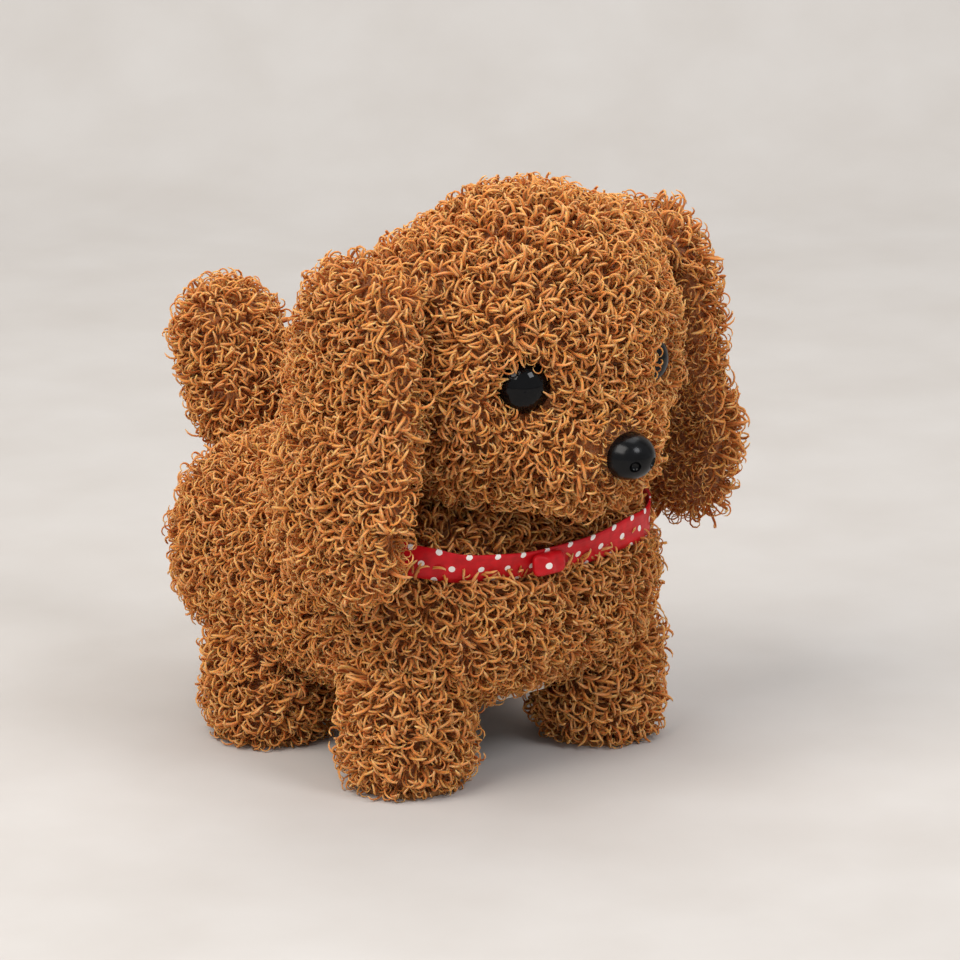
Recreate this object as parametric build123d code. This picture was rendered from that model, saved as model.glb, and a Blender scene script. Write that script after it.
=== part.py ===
from build123d import *
import math
import os

# Walking plush puppy: a battery gear drive in a plastic case, under a curly plush cover.
# Millimetres, +Z up. The puppy faces -Y, and its left side is +X. Heights count from the floor.
# Lengthways places are chosen about the gear case. write_node() then moves the whole model
# along Y, so that the origin is on the floor under the middle of its overall length.

# ---- Fits and clearances --------------------------------------------------------------
running = 0.05            # radial, pins and shafts that turn
slip = 0.2                # loose hard parts side by side
soft_gap = 0.5            # cloth beside anything it doesn't hold
swing_gap = 1.0           # cloth beside a limb over its whole swing

# ---- Plush cover ----------------------------------------------------------------------
plush = 8.0               # cloth backing and curly pile together
body_half_width = 53.0
body_front_y = -54.0
body_rear_y = 80.0
belly_z = 19.0
back_cover = 12.2           # body top, above the gear case
body_round = 30.0

# ---- Head -----------------------------------------------------------------------------
head_half_width = 49.0
head_half_depth = 39.5
head_half_height = 47.0
head_y = -36.0
head_seat = 7.5             # head underside, below the body top
muzzle_radius = 24.0
muzzle_forward = 22.5     # muzzle centre, ahead of the head's centre
muzzle_drop = 21.5        # and below it
nod_drop = 13.0           # nod axis, below the head's centre
nod_gap = 3.0             # head to body, over the nod
neck_hole_radius = 13.0
eye_x = 24.0
eye_drop = 2.0
eye_toe_out = 35.0        # degrees, each eye's axis from straight ahead
eye_radius = 7.8
eye_height = 5.4
eye_sink = 7.0            # eye's back face, below the plush surface
nose_half_width = 7.8
nose_half_height = 6.8
nose_depth = 8.0
nose_proud = 6.0          # nose tip, ahead of the muzzle
washer_radius = 5.0
washer_thickness = 1.0
stem_radius = 1.5

# ---- Ears -----------------------------------------------------------------------------
ear_top_lift = 25.5       # ear root, above the head's centre
ear_tip_z = 62.0
ear_width = 56.0
ear_root_width = 36.0
ear_thickness = 11.0
ear_flare = 5.5           # ear tip, clear of the body's side
ear_y = -30.0

# ---- Tail -----------------------------------------------------------------------------
tail_radius = 16.0
tail_root_y = 90.0
tail_root_z = 84.0
tail_lean = 9.0           # the tip's centre, behind the root's
tail_length = 20.0        # between the two centres' heights
tail_axis_z = 62.0
tail_swing = 15.0         # degrees each way
tail_rod_radius = 2.5

# ---- Legs -----------------------------------------------------------------------------
leg_radius = 17.5
leg_to_box = 2.6
leg_top_z = 34.0
leg_top_round = 8.0
leg_foot_round = 3.0
leg_floor_gap = 0.6       # pile above the floor, round the sole
front_leg_y = -28.0
rear_leg_y = 34.0
hip_z = 46.0
leg_swing = 12.0          # degrees each way
sole_radius = 14.0
sole_thickness = 1.6
foot_post_radius = 10.0
foot_post_top_z = 28.0
lever_thickness = 4.5
lever_half_width = 4.5
rod_lever = 14.0          # rod pin, above the hip
hip_pin_radius = 2.0
rod_pin_radius = 1.5
rod_thickness = 2.6
rod_height = 7.0
side_gap = 0.5            # endways, between levers, rods and the case

# ---- Batteries: two AA cells ----------------------------------------------------------
cell_diameter = 14.2
cell_length = 50.5
cell_spacing = 0.8
contact_room = 3.5
box_wall = 1.6
box_y = 5.0
door_thickness = 2.0
door_boss_radius = 3.0
screw_radius = 1.2

# ---- Gear case ------------------------------------------------------------------------
case_half_width = 20.0
case_front_y = -38.0
case_rear_y = 54.0
case_height = 35.6
case_wall = 2.0
case_round = 3.0
boss_radius = 3.0
boss_inset = 4.6
screw_reach = 12.0          # case screw's thread, past the joint
screw_head_radius = 2.4
screw_head_depth = 1.5
driver_slot_half = 0.3
driver_slot_depth = 0.6
pin_head_radius = 3.4
pin_head_thickness = 1.0
motor_rib_places = (-10.0, 4.0)
motor_rib_half = 1.5

# ---- Drive ----------------------------------------------------------------------------
gear_module = 0.5
pinion_teeth = 10
wheel_teeth = 36
pressure_angle = 20.0
backlash = 0.12
mesh_gap = 0.08           # added to each centre distance
gear_pin_radius = 1.0
axle_radius = 1.5
crank_y = 3.0
crank_disc_radius = 5.5
crank_disc_thickness = 3.0
crank_pin_radius = 1.2
crank_pin_short = 0.4     # the crank pin's end stops this short of the yoke
bushing_radius = 3.0
wheel_thickness = 3.0
pinion_overlap = 0.6      # a pinion is longer than its wheel by this at each end
motor_radius = 10.0
motor_length = 23.0
motor_cap = 2.0
motor_shell = 0.8

# ---- Electronics ----------------------------------------------------------------------
board_thickness = 1.2
board_half_width = 15.0
board_y = -14.0
board_height = 27.0
speaker_radius = 9.5
speaker_rim = 2.0
sound_hole_radius = 1.1
sound_hole_ring = 6.0
wire_radius = 0.6
wire_hole_radius = 1.2
wire_x = 10.0               # battery wires, each side of the middle
wire_forward = 8.0          # and ahead of the board
terminal_height = 6.0       # motor tags, above and below the shaft

# ---- Switch ---------------------------------------------------------------------------
switch_travel = 4.0
knob_stem = 3.0
well_half_width = 9.0
well_length = 10.4
well_height = 10.0

# ---- Ribbon ---------------------------------------------------------------------------
ribbon_width = 9.0
ribbon_thickness = 0.8
ribbon_tilt = 15.0        # degrees, back edge up
ribbon_y = -24.0
ribbon_drop = 9.5           # ribbon middle, below the body top
ribbon_round = 27.0
knot_half_width = 6.0
knot_depth = 3.0
knot_x = -8.0

# ---- Places that follow from the sizes ------------------------------------------------
box_half_width = cell_diameter + cell_spacing / 2 + slip + box_wall
box_half_length = cell_length / 2 + contact_room + box_wall
box_front_y = box_y - box_half_length
box_rear_y = box_y + box_half_length
switch_y = box_front_y - well_length / 2
box_floor_z = belly_z + door_thickness
box_ceiling_z = box_floor_z + cell_diameter + 2 * slip
box_top_z = box_ceiling_z + box_wall
case_floor_z = box_top_z
case_top_z = case_floor_z + case_height
speaker_z = (case_floor_z + case_top_z) / 2
case_inner_x = case_half_width - case_wall
leg_x = box_half_width + leg_to_box + leg_radius
crank_z = hip_z + rod_lever
crank_throw = rod_lever * math.sin(math.radians(leg_swing))
gear_step = gear_module * (pinion_teeth + wheel_teeth) / 2 + mesh_gap
second_y = crank_y + gear_step
first_y = second_y + gear_step
motor_y = first_y + gear_step
lever_in_x = case_half_width + 2 * side_gap
lever_out_x = lever_in_x + lever_thickness
rod_in_x = lever_out_x + side_gap
rod_out_x = rod_in_x + rod_thickness
back_z = case_top_z + back_cover
ribbon_z = back_z - ribbon_drop
head_z = back_z - head_seat + head_half_height
muzzle_y = head_y - muzzle_forward
muzzle_z = head_z - muzzle_drop
nod_z = head_z - nod_drop
nose_tip_y = muzzle_y - muzzle_radius - nose_proud
tail_tip_y = tail_root_y + tail_lean
tail_end_y = tail_tip_y + tail_radius
ear_root_z = head_z + ear_top_lift
middle_y = (nose_tip_y + tail_end_y) / 2
SIDES = {"right": -1, "left": 1}
LEGS = {"front": front_leg_y, "rear": rear_leg_y}


# ---- Helpers --------------------------------------------------------------------------
def write_node(name, *shapes):
    """Write one node, moved so that the origin is under the model's middle."""
    shift = Pos(0, -middle_y, 0)
    solids = [shift * solid for shape in shapes for solid in shape.solids()]
    export_step(solids[0] if len(solids) == 1 else Compound(solids), f"parts/{name}.step")


def block(x0, x1, y0, y1, z0, z1):
    """A box between two X, two Y and two Z planes, given in either order."""
    size = (abs(x1 - x0), abs(y1 - y0), abs(z1 - z0))
    return Pos((x0 + x1) / 2, (y0 + y1) / 2, (z0 + z1) / 2) * Box(*size)


def rod_x(x0, x1, y, z, radius):
    """A round bar along X."""
    return Pos((x0 + x1) / 2, y, z) * Rot(0, 90, 0) * Cylinder(radius, abs(x1 - x0))


def rod_y(x, y0, y1, z, radius):
    """A round bar along Y."""
    return Pos(x, (y0 + y1) / 2, z) * Rot(90, 0, 0) * Cylinder(radius, abs(y1 - y0))


def rod_z(x, y, z0, z1, radius):
    """A round bar along Z."""
    return Pos(x, y, (z0 + z1) / 2) * Cylinder(radius, abs(z1 - z0))


def capsule(start, end, radius):
    """A round-ended bar between two points, turned about its own line."""
    line = Vector(*end) - Vector(*start)
    reach = line.length
    outline = [
        Line((0, -radius), (0, reach + radius)),
        CenterArc((0, reach), radius, 0, 90),
        Line((radius, reach), (radius, 0)),
        CenterArc((0, 0), radius, -90, 90),
    ]
    bar = revolve(make_face(Wire(outline)), Axis.Y)
    return Plane(origin=Vector(*start), z_dir=line) * Rot(90, 0, 0) * bar


def ellipsoid(half_x, half_y, half_z):
    return scale(Sphere(1.0), by=(half_x, half_y, half_z))


def body_form(inset=0.0):
    """The body's rounded block, drawn in by inset all round."""
    form = block(
        -body_half_width + inset, body_half_width - inset,
        body_front_y + inset, body_rear_y - inset,
        belly_z + inset, back_z - inset,
    )
    return fillet(form.edges(), body_round - inset)


def head_form(inset=0.0):
    """The skull and muzzle together, drawn in by inset all round."""
    skull = ellipsoid(head_half_width - inset, head_half_depth - inset, head_half_height - inset)
    muzzle = Sphere(muzzle_radius - inset)
    return Pos(0, head_y, head_z) * skull + Pos(0, muzzle_y, muzzle_z) * muzzle


def spur_gear(teeth, x0, x1, y, z, bore, turn=0.0):
    """An involute spur gear about an X axis, with a tooth at the angle turn from +Y."""
    pitch_radius = gear_module * teeth / 2
    base_radius = pitch_radius * math.cos(math.radians(pressure_angle))
    root_radius = pitch_radius - 1.25 * gear_module
    tip_radius = pitch_radius + 0.9 * gear_module
    involute = math.tan(math.radians(pressure_angle)) - math.radians(pressure_angle)
    half_tooth = math.pi / (2 * teeth) - backlash / (2 * pitch_radius)

    def half_angle(radius):
        slope = math.acos(min(1.0, base_radius / radius))
        return half_tooth + involute - (math.tan(slope) - slope)

    start = max(base_radius, root_radius)
    radii = [root_radius] + [start + (tip_radius - start) * step / 3 for step in range(4)]
    flank = [(radius, half_angle(max(radius, start))) for radius in radii]
    if root_radius >= base_radius:
        flank = flank[1:]
    points = []
    for tooth in range(teeth):
        middle = math.radians(turn) + 2 * math.pi * tooth / teeth
        rising = [(radius, middle - angle) for radius, angle in flank]
        falling = [(radius, middle + angle) for radius, angle in reversed(flank)]
        points += [(r * math.cos(a), r * math.sin(a)) for r, a in rising + falling]
    face = make_face(Plane.YZ * Polyline(*points, close=True))
    wheel = Pos(x0, y, z) * extrude(face, x1 - x0, dir=(1, 0, 0))
    return wheel - rod_x(x0 - 1, x1 + 1, y, z, bore)


def meshing_turn(teeth):
    """The turn that puts a gap at the -Y side, where the driven wheel's tooth comes in."""
    return 180.0 - 180.0 / teeth


# ---- Gear case ------------------------------------------------------------------------
def case_boss_places():
    """Y and Z of the four screws that join the case's halves."""
    ends = (case_front_y + boss_inset, case_rear_y - boss_inset)
    heights = (case_floor_z + boss_inset, case_top_z - boss_inset)
    return [(y, z) for y in ends for z in heights]


def gear_case():
    """Both halves of the case as one, before it is split at X = 0."""
    outer = block(
        -case_half_width, case_half_width, case_front_y, case_rear_y, case_floor_z, case_top_z
    )
    outer = fillet(outer.edges().filter_by(Axis.X), case_round)
    inner = block(
        -case_inner_x, case_inner_x,
        case_front_y + case_wall, case_rear_y - case_wall,
        case_floor_z + case_wall, case_top_z - case_wall,
    )
    case = outer - inner
    for y, z in case_boss_places():
        case += rod_x(-case_inner_x, case_inner_x, y, z, boss_radius)
    for x in motor_rib_places:
        rib = block(
            x - motor_rib_half, x + motor_rib_half,
            motor_y - motor_radius + 1, case_rear_y - case_wall,
            case_floor_z + case_wall, crank_z,
        )
        case += rib
    return case - rod_x(-case_inner_x, case_inner_x, motor_y, crank_z, motor_radius)


def case_cuts():
    """Every hole through the case's walls."""
    cuts = []
    for side in SIDES.values():
        wall_in = side * case_inner_x
        wall_out = side * case_half_width
        cuts.append(rod_x(wall_in, wall_out, crank_y, crank_z, bushing_radius))
        for leg_y in LEGS.values():
            cuts.append(rod_x(wall_in, wall_out, leg_y, hip_z, hip_pin_radius))
        for y in (first_y, second_y):
            cuts.append(rod_x(wall_in, side * (case_inner_x + 1), y, crank_z, gear_pin_radius))
        cuts.append(rod_z(
            side * wire_x, board_y - wire_forward, case_floor_z, case_floor_z + case_wall,
            wire_hole_radius,
        ))
    for turn in range(6):
        x = sound_hole_ring * math.cos(math.radians(60 * turn))
        z = speaker_z + sound_hole_ring * math.sin(math.radians(60 * turn))
        cuts.append(rod_y(x, case_front_y, case_front_y + case_wall, z, sound_hole_radius))
    cuts.append(rod_y(0, case_front_y, case_front_y + case_wall, speaker_z, sound_hole_radius))
    cuts.append(rod_y(0, case_rear_y - case_wall, case_rear_y + 1, tail_axis_z, axle_radius))
    for y, z in case_boss_places():
        cuts.append(rod_x(0, case_half_width + 1, y, z, screw_radius + slip))
        cuts.append(rod_x(-screw_reach, 0, y, z, screw_radius))
        cuts.append(rod_x(
            case_half_width - screw_head_depth, case_half_width, y, z, screw_head_radius + slip
        ))
    return cuts


def build_case():
    case = gear_case() - case_cuts()
    half = 2 * case_half_width
    spans = {
        "right": block(-half, 0, case_front_y, case_rear_y, case_floor_z, case_top_z),
        "left": block(0, half, case_front_y, case_rear_y, case_floor_z, case_top_z),
    }
    for name, span in spans.items():
        write_node(f"case_{name}", case & span)
    screws = []
    for y, z in case_boss_places():
        shank = rod_x(-screw_reach, case_half_width - screw_head_depth, y, z, screw_radius)
        head = rod_x(
            case_half_width - screw_head_depth, case_half_width, y, z, screw_head_radius
        )
        slot = block(
            case_half_width - driver_slot_depth, case_half_width,
            y - screw_head_radius, y + screw_head_radius,
            z - driver_slot_half, z + driver_slot_half,
        )
        screws.append(shank + head - slot)
    write_node("case_screws", *screws)
    pins = []
    for side in SIDES.values():
        for leg_y in LEGS.values():
            head_x = lever_out_x + slip
            pin = rod_x(side * case_inner_x, side * head_x, leg_y, hip_z, hip_pin_radius)
            head = rod_x(
                side * head_x, side * (head_x + pin_head_thickness), leg_y, hip_z, pin_head_radius
            )
            pins.append(pin + head)
    write_node("hip_pins", *pins)


# ---- Drive ----------------------------------------------------------------------------
wheel_1_x = 13.5                              # first wheel's inner face
wheel_2_x = wheel_1_x - 0.9 - wheel_thickness
wheel_3_x = wheel_2_x - 1.0 - wheel_thickness - pinion_overlap
motor_face_x = wheel_3_x + wheel_thickness


def build_drive():
    turn = meshing_turn(pinion_teeth)
    bore = gear_pin_radius + running
    first = spur_gear(
        wheel_teeth, wheel_1_x, wheel_1_x + wheel_thickness, first_y, crank_z, bore
    ) + spur_gear(
        pinion_teeth, wheel_2_x - pinion_overlap, wheel_1_x, first_y, crank_z, bore, turn
    )
    second = spur_gear(
        wheel_teeth, wheel_2_x, wheel_2_x + wheel_thickness, second_y, crank_z, bore
    ) + spur_gear(
        pinion_teeth, wheel_3_x - pinion_overlap, wheel_2_x, second_y, crank_z, bore, turn
    )
    write_node("first_gear", first)
    write_node("second_gear", second)
    pins = [
        rod_x(-case_inner_x - 1, case_inner_x + 1, y, crank_z, gear_pin_radius)
        for y in (first_y, second_y)
    ]
    write_node("gear_pins", *pins)
    write_node("crank_gear", spur_gear(
        wheel_teeth, wheel_3_x, wheel_3_x + wheel_thickness, crank_y, crank_z, axle_radius
    ))
    disc_out_x = lever_in_x + crank_disc_thickness
    write_node("crank_axle", rod_x(-disc_out_x, disc_out_x, crank_y, crank_z, axle_radius))
    discs = []
    bushings = []
    for side in SIDES.values():
        disc = rod_x(side * lever_in_x, side * disc_out_x, crank_y, crank_z, crank_disc_radius)
        disc -= rod_x(side * lever_in_x, side * disc_out_x, crank_y, crank_z, axle_radius)
        pin_end_x = rod_in_x - crank_pin_short
        disc += rod_x(
            side * disc_out_x, side * pin_end_x, crank_y, crank_z - side * crank_throw,
            crank_pin_radius,
        )
        discs.append(disc)
        ring = rod_x(
            side * case_inner_x, side * (case_half_width + slip), crank_y, crank_z, bushing_radius
        )
        hole = rod_x(0, side * lever_in_x, crank_y, crank_z, axle_radius + running)
        bushings.append(ring - hole)
    write_node("crank_discs", *discs)
    write_node("axle_bushings", *bushings)


def build_motor():
    back_x = motor_face_x - motor_length
    cap_x = back_x + motor_cap
    can = rod_x(cap_x, motor_face_x, motor_y, crank_z, motor_radius)
    can -= rod_x(cap_x, motor_face_x - 1, motor_y, crank_z, motor_radius - motor_shell)
    can += rod_x(motor_face_x, motor_face_x + 1, motor_y, crank_z, 3)
    can -= rod_x(motor_face_x - 1, motor_face_x + 1, motor_y, crank_z, axle_radius)
    write_node("motor_can", can)
    cap = rod_x(back_x, cap_x, motor_y, crank_z, motor_radius)
    cap -= rod_x(back_x, cap_x, motor_y, crank_z, gear_pin_radius + running)
    for z in (crank_z - terminal_height, crank_z + terminal_height):
        cap += block(back_x + 0.5, cap_x - 0.5, motor_y - 11, motor_y - 7, z - 1.2, z + 1.2)
    write_node("motor_end_cap", cap)
    shaft = rod_x(back_x, wheel_1_x + wheel_thickness + pinion_overlap, motor_y, crank_z, 1.0)
    core = rod_x(cap_x + 3, motor_face_x - 4, motor_y, crank_z, motor_radius - 2.8)
    for pole in range(3):
        slot = Pos(0, motor_y, crank_z) * Rot(120 * pole, 0, 0)
        core -= slot * block(cap_x, motor_face_x, -0.9, 0.9, 3, motor_radius)
    write_node("motor_armature", shaft + core)
    write_node("motor_pinion", spur_gear(
        pinion_teeth, wheel_1_x - pinion_overlap, wheel_1_x + wheel_thickness + pinion_overlap,
        motor_y, crank_z, gear_pin_radius, meshing_turn(pinion_teeth),
    ))


# ---- Electronics, batteries and switch ------------------------------------------------
def build_electronics():
    floor_z = case_floor_z + case_wall
    half = board_thickness / 2
    board = block(
        -board_half_width, board_half_width, board_y - half, board_y + half,
        floor_z, floor_z + board_height,
    )
    write_node("circuit_board", board)
    front = board_y - half
    chip = rod_y(-5, front - 1.4, front, floor_z + 18, 4)
    capacitor = rod_y(6, front - 7, front, floor_z + 18, 2.5)
    driver = block(2, 8, front - 1.6, front, floor_z + 8, floor_z + 12)
    write_node("board_components", chip, capacitor, driver)
    face = case_front_y + case_wall
    ring = rod_y(0, face, face + 2.5, speaker_z, speaker_radius)
    ring -= rod_y(0, face, face + 2.5, speaker_z, speaker_radius - speaker_rim)
    basket = rod_y(0, face + 2.5, face + 5, speaker_z, speaker_radius)
    basket -= rod_y(0, face + 2.5, face + 4, speaker_z, speaker_radius - 3)
    magnet = rod_y(0, face + 5, face + 9, speaker_z, speaker_radius / 2)
    write_node("speaker_frame", ring + basket + magnet)
    cone = Pos(0, face + 1.5, speaker_z) * Rot(90, 0, 0) * Cone(3.5, speaker_radius - 2.2, 1.6)
    write_node("speaker_cone", cone)
    back_x = motor_face_x - motor_length
    wires = []
    for z in (crank_z - terminal_height, crank_z + terminal_height):
        wires.append(rod_y(back_x + motor_cap / 2, board_y + half, motor_y - 11, z, wire_radius))
    for side in SIDES.values():
        x, y, z = side * wire_x, board_y - wire_forward, box_top_z
        bend = wire_forward
        route = FilletPolyline((x, y, z), (x, y, z + bend), (x, front, z + bend), radius=5)
        end = Plane(origin=route @ 0, z_dir=route % 0) * Circle(wire_radius)
        wires.append(sweep(end, path=route))
    write_node("wiring", *wires)


def build_batteries():
    box = block(
        -box_half_width, box_half_width, box_front_y, box_rear_y, box_floor_z, box_top_z
    )
    cavity = block(
        -box_half_width + box_wall, box_half_width - box_wall,
        box_front_y + box_wall, box_rear_y - box_wall, box_floor_z, box_ceiling_z,
    )
    boss_y = box_rear_y + door_boss_radius - 0.6
    well_front_y = box_front_y - well_length
    well = block(
        -well_half_width, well_half_width, well_front_y, box_front_y,
        box_floor_z, box_floor_z + well_height,
    )
    well -= block(
        -well_half_width + box_wall, well_half_width - box_wall,
        well_front_y + box_wall, box_front_y - box_wall,
        box_floor_z + box_wall, box_floor_z + well_height,
    )
    well -= block(
        -(switch_travel + knob_stem) / 2 - slip, (switch_travel + knob_stem) / 2 + slip,
        switch_y - knob_stem / 2 - slip, switch_y + knob_stem / 2 + slip,
        box_floor_z, box_floor_z + box_wall,
    )
    boss = rod_z(0, boss_y, box_floor_z, box_floor_z + 12, door_boss_radius)
    boss -= block(-5, 5, box_y, box_rear_y - box_wall / 2, box_floor_z, box_top_z)
    box = box - cavity + well + boss
    box -= rod_z(0, boss_y, box_floor_z, box_floor_z + 10, screw_radius + running)
    write_node("battery_box", box)

    cell_z = box_floor_z + slip + cell_diameter / 2
    cells = []
    contacts = []
    for side in SIDES.values():
        x = side * (cell_diameter + cell_spacing) / 2
        ends = (box_y - cell_length / 2, box_y + cell_length / 2)
        nub_end = ends[0] if side > 0 else ends[1]
        nub_root = nub_end + side * 1.2
        tail_end = ends[1] if side > 0 else ends[0]
        cells.append(
            rod_y(x, nub_root, tail_end, cell_z, cell_diameter / 2)
            + rod_y(x, nub_end, nub_root, cell_z, 2.7)
        )
        for end, wall in zip(ends, (box_front_y + box_wall, box_rear_y - box_wall)):
            inward = 1 if end > wall else -1
            plate = block(x - 5.5, x + 5.5, wall, wall + inward * 0.4, cell_z - 5, cell_z + 5)
            leaf = rod_y(x, wall + inward * 0.4, end, cell_z, 2.4)
            contacts.append(plate + leaf)
    write_node("battery_cells", *cells)
    write_node("battery_contacts", *contacts)

    door = block(
        -box_half_width + slip, box_half_width - slip, box_front_y + slip, box_rear_y,
        belly_z, box_floor_z,
    )
    door += rod_z(0, boss_y, belly_z, box_floor_z, door_boss_radius + 0.5)
    door -= rod_z(0, boss_y, belly_z, box_floor_z, screw_radius)
    door -= rod_z(0, boss_y, belly_z, belly_z + 1, screw_head_radius - slip)
    for rib in range(3):
        y = box_y - 8 + 8 * rib
        door -= block(-9, 9, y - 0.6, y + 0.6, belly_z, belly_z + 0.5)
    write_node("battery_door", door)
    screw = rod_z(0, boss_y, belly_z + 1, box_floor_z + 9, screw_radius)
    screw += rod_z(0, boss_y, belly_z, belly_z + 1, screw_head_radius - slip)
    screw -= block(
        -screw_head_radius, screw_head_radius, boss_y - driver_slot_half,
        boss_y + driver_slot_half, belly_z, belly_z + driver_slot_depth,
    )
    write_node("door_screw", screw)


def build_switch():
    floor_z = box_floor_z + box_wall
    y = switch_y
    housing = block(-6.5, 6.5, y - 3.2, y + 3.2, floor_z, floor_z + 6)
    housing -= block(-5.1, 5.1, y - 2.3, y + 2.3, floor_z, floor_z + 4.4)
    write_node("switch_housing", housing)
    x = -switch_travel / 2
    knob = block(x - 2.8, x + 2.8, y - 2.1, y + 2.1, floor_z + slip, floor_z + 4)
    half = knob_stem / 2
    knob += block(x - half, x + half, y - half, y + half, belly_z + 0.6, floor_z + slip)
    write_node("switch_knob", knob)


# ---- Legs and rods --------------------------------------------------------------------
def leg_core(side, y):
    """Lever, bracket and foot post of one leg, in one moulding."""
    in_x, out_x = side * lever_in_x, side * lever_out_x
    rod_pin_z = hip_z + rod_lever
    core = rod_x(in_x, out_x, y, rod_pin_z, lever_half_width)
    core += block(in_x, out_x, y - lever_half_width, y + lever_half_width, hip_z, rod_pin_z)
    core += rod_x(out_x, side * (rod_out_x + side_gap), y, rod_pin_z, rod_pin_radius)
    core += rod_x(in_x, out_x, y, hip_z, 6)
    core += block(in_x, out_x, y - 6, y + 6, foot_post_top_z - 6, hip_z)
    core += block(in_x, side * leg_x, y - 6, y + 6, foot_post_top_z - 6, foot_post_top_z)
    core += rod_z(side * leg_x, y, sole_thickness, foot_post_top_z, foot_post_radius)
    return core - rod_x(in_x, out_x, y, hip_z, hip_pin_radius + running)


def build_legs():
    for end, y in LEGS.items():
        for name, side in SIDES.items():
            core = leg_core(side, y)
            write_node(f"leg_core_{end}_{name}", core)
            sole = rod_z(side * leg_x, y, 0, sole_thickness, sole_radius)
            write_node(f"foot_sole_{end}_{name}", chamfer(sole.edges().group_by(Axis.Z)[0], 0.4))
            cover = rod_z(side * leg_x, y, leg_floor_gap, leg_top_z, leg_radius)
            cover = fillet(cover.edges().group_by(Axis.Z)[-1], leg_top_round)
            cover = fillet(cover.edges().group_by(Axis.Z)[0], leg_foot_round)
            cover -= rod_z(side * leg_x, y, 0, sole_thickness, sole_radius + slip)
            write_node(f"leg_plush_{end}_{name}", cover - core)


def build_rods():
    half_height = rod_height / 2
    slot_half = crank_throw + crank_pin_radius + side_gap
    for name, side in SIDES.items():
        in_x, out_x = side * rod_in_x, side * rod_out_x
        bar = block(
            in_x, out_x, front_leg_y, rear_leg_y, crank_z - half_height, crank_z + half_height
        )
        for y in LEGS.values():
            bar += rod_x(in_x, out_x, y, crank_z, half_height)
        bar += block(
            in_x, out_x, crank_y - 5, crank_y + 5, crank_z - slot_half - 2, crank_z + slot_half + 2
        )
        for y in LEGS.values():
            bar -= rod_x(in_x, out_x, y, crank_z, rod_pin_radius + running)
        slot_width = crank_pin_radius + slip
        bar -= block(
            in_x, out_x, crank_y - slot_width, crank_y + slot_width,
            crank_z - slot_half, crank_z + slot_half,
        )
        write_node(f"link_rod_{name}", bar)


# ---- Tail -----------------------------------------------------------------------------
tail_root = (0, tail_root_y, tail_root_z)
tail_tip = (0, tail_tip_y, tail_root_z + tail_length)
tail_hub_y = case_rear_y + 2
hub_middle = (0, tail_hub_y + 2.5, tail_axis_z)
knee = (0, tail_hub_y + 2.5, tail_axis_z + 8)
elbow = (0, tail_root_y - 4, tail_root_z - 4)


def tail_lever():
    hub = rod_y(0, tail_hub_y, tail_hub_y + 5, tail_axis_z, 4.5)
    lever = hub + capsule(hub_middle, knee, tail_rod_radius)
    lever += capsule(knee, elbow, tail_rod_radius)
    lever += capsule(elbow, tail_root, tail_rod_radius)
    lever += capsule(tail_root, tail_tip, tail_rod_radius)
    return lever - rod_y(0, case_rear_y, tail_hub_y + 8, tail_axis_z, axle_radius + running)


def build_tail():
    lever = tail_lever()
    write_node("tail_lever", lever)
    write_node("tail_plush", capsule(tail_root, tail_tip, tail_radius) - lever)
    pin = rod_y(0, case_rear_y - case_wall, tail_hub_y + 5.4, tail_axis_z, axle_radius)
    pin += rod_y(0, tail_hub_y + 5.4, tail_hub_y + 6.4, tail_axis_z, 3)
    write_node("tail_pin", pin)


# ---- Head, face and neck --------------------------------------------------------------
def surface_depth(x, drop):
    """The skull's depth ahead of its middle, at a place across and below it."""
    flat = 1 - (x / head_half_width) ** 2 - (drop / head_half_height) ** 2
    return head_half_depth * math.sqrt(flat)


def eye_place(side):
    """A frame at the eye's back face, with +Z out of the face along the eye's axis."""
    y = head_y - surface_depth(eye_x, eye_drop) + eye_sink
    return Pos(side * eye_x, y, head_z - eye_drop) * Rot(0, 0, side * eye_toe_out) * Rot(90, 0, 0)


def stem_length(sink):
    """From the back face, through the cover and a washer, with a little to spare."""
    return plush - sink + 4


def eye_form():
    """A domed button on a stem."""
    stem = stem_length(eye_sink)
    ball_radius = (eye_radius ** 2 + eye_height ** 2) / (2 * eye_height)
    ball = Pos(0, 0, eye_height - ball_radius) * Sphere(ball_radius)
    dome = ball & Pos(0, 0, eye_height / 2) * Cylinder(eye_radius, eye_height)
    return dome + Pos(0, 0, -stem / 2) * Cylinder(stem_radius, stem)


nose_place = Pos(0, nose_tip_y + nose_depth, muzzle_z - 1) * Rot(90, 0, 0)


def nose_form():
    """A rounded nose with two nostril dents and a stem."""
    bulb = ellipsoid(nose_half_width, nose_half_height, nose_depth)
    bulb &= Pos(0, 0, nose_depth / 2) * Box(40, 40, nose_depth)
    for side in SIDES.values():
        bulb -= Pos(side * 3.4, -1.5, nose_depth * 0.88) * Sphere(1.7)
    stem = stem_length(nose_depth - nose_proud)
    return bulb + Pos(0, 0, -stem / 2) * Cylinder(stem_radius, stem)


def washer(place, sink):
    """The push-on disc at the stem's end, inside the cover."""
    disc = Cylinder(washer_radius, washer_thickness) - Cylinder(stem_radius, washer_thickness)
    return place * Pos(0, 0, 0.5 + washer_thickness / 2 - stem_length(sink)) * disc


def head_yoke():
    """Two cheeks on the nod pin and the plate that carries the head."""
    yoke = rod_z(0, head_y, nod_z + 12, nod_z + 15, 16)
    for side in SIDES.values():
        yoke += block(
            side * (4 + side_gap), side * 8, head_y - 6, head_y + 6, nod_z - 5, nod_z + 12
        )
    return yoke - rod_x(-9, 9, head_y, nod_z, stem_radius)


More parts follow.
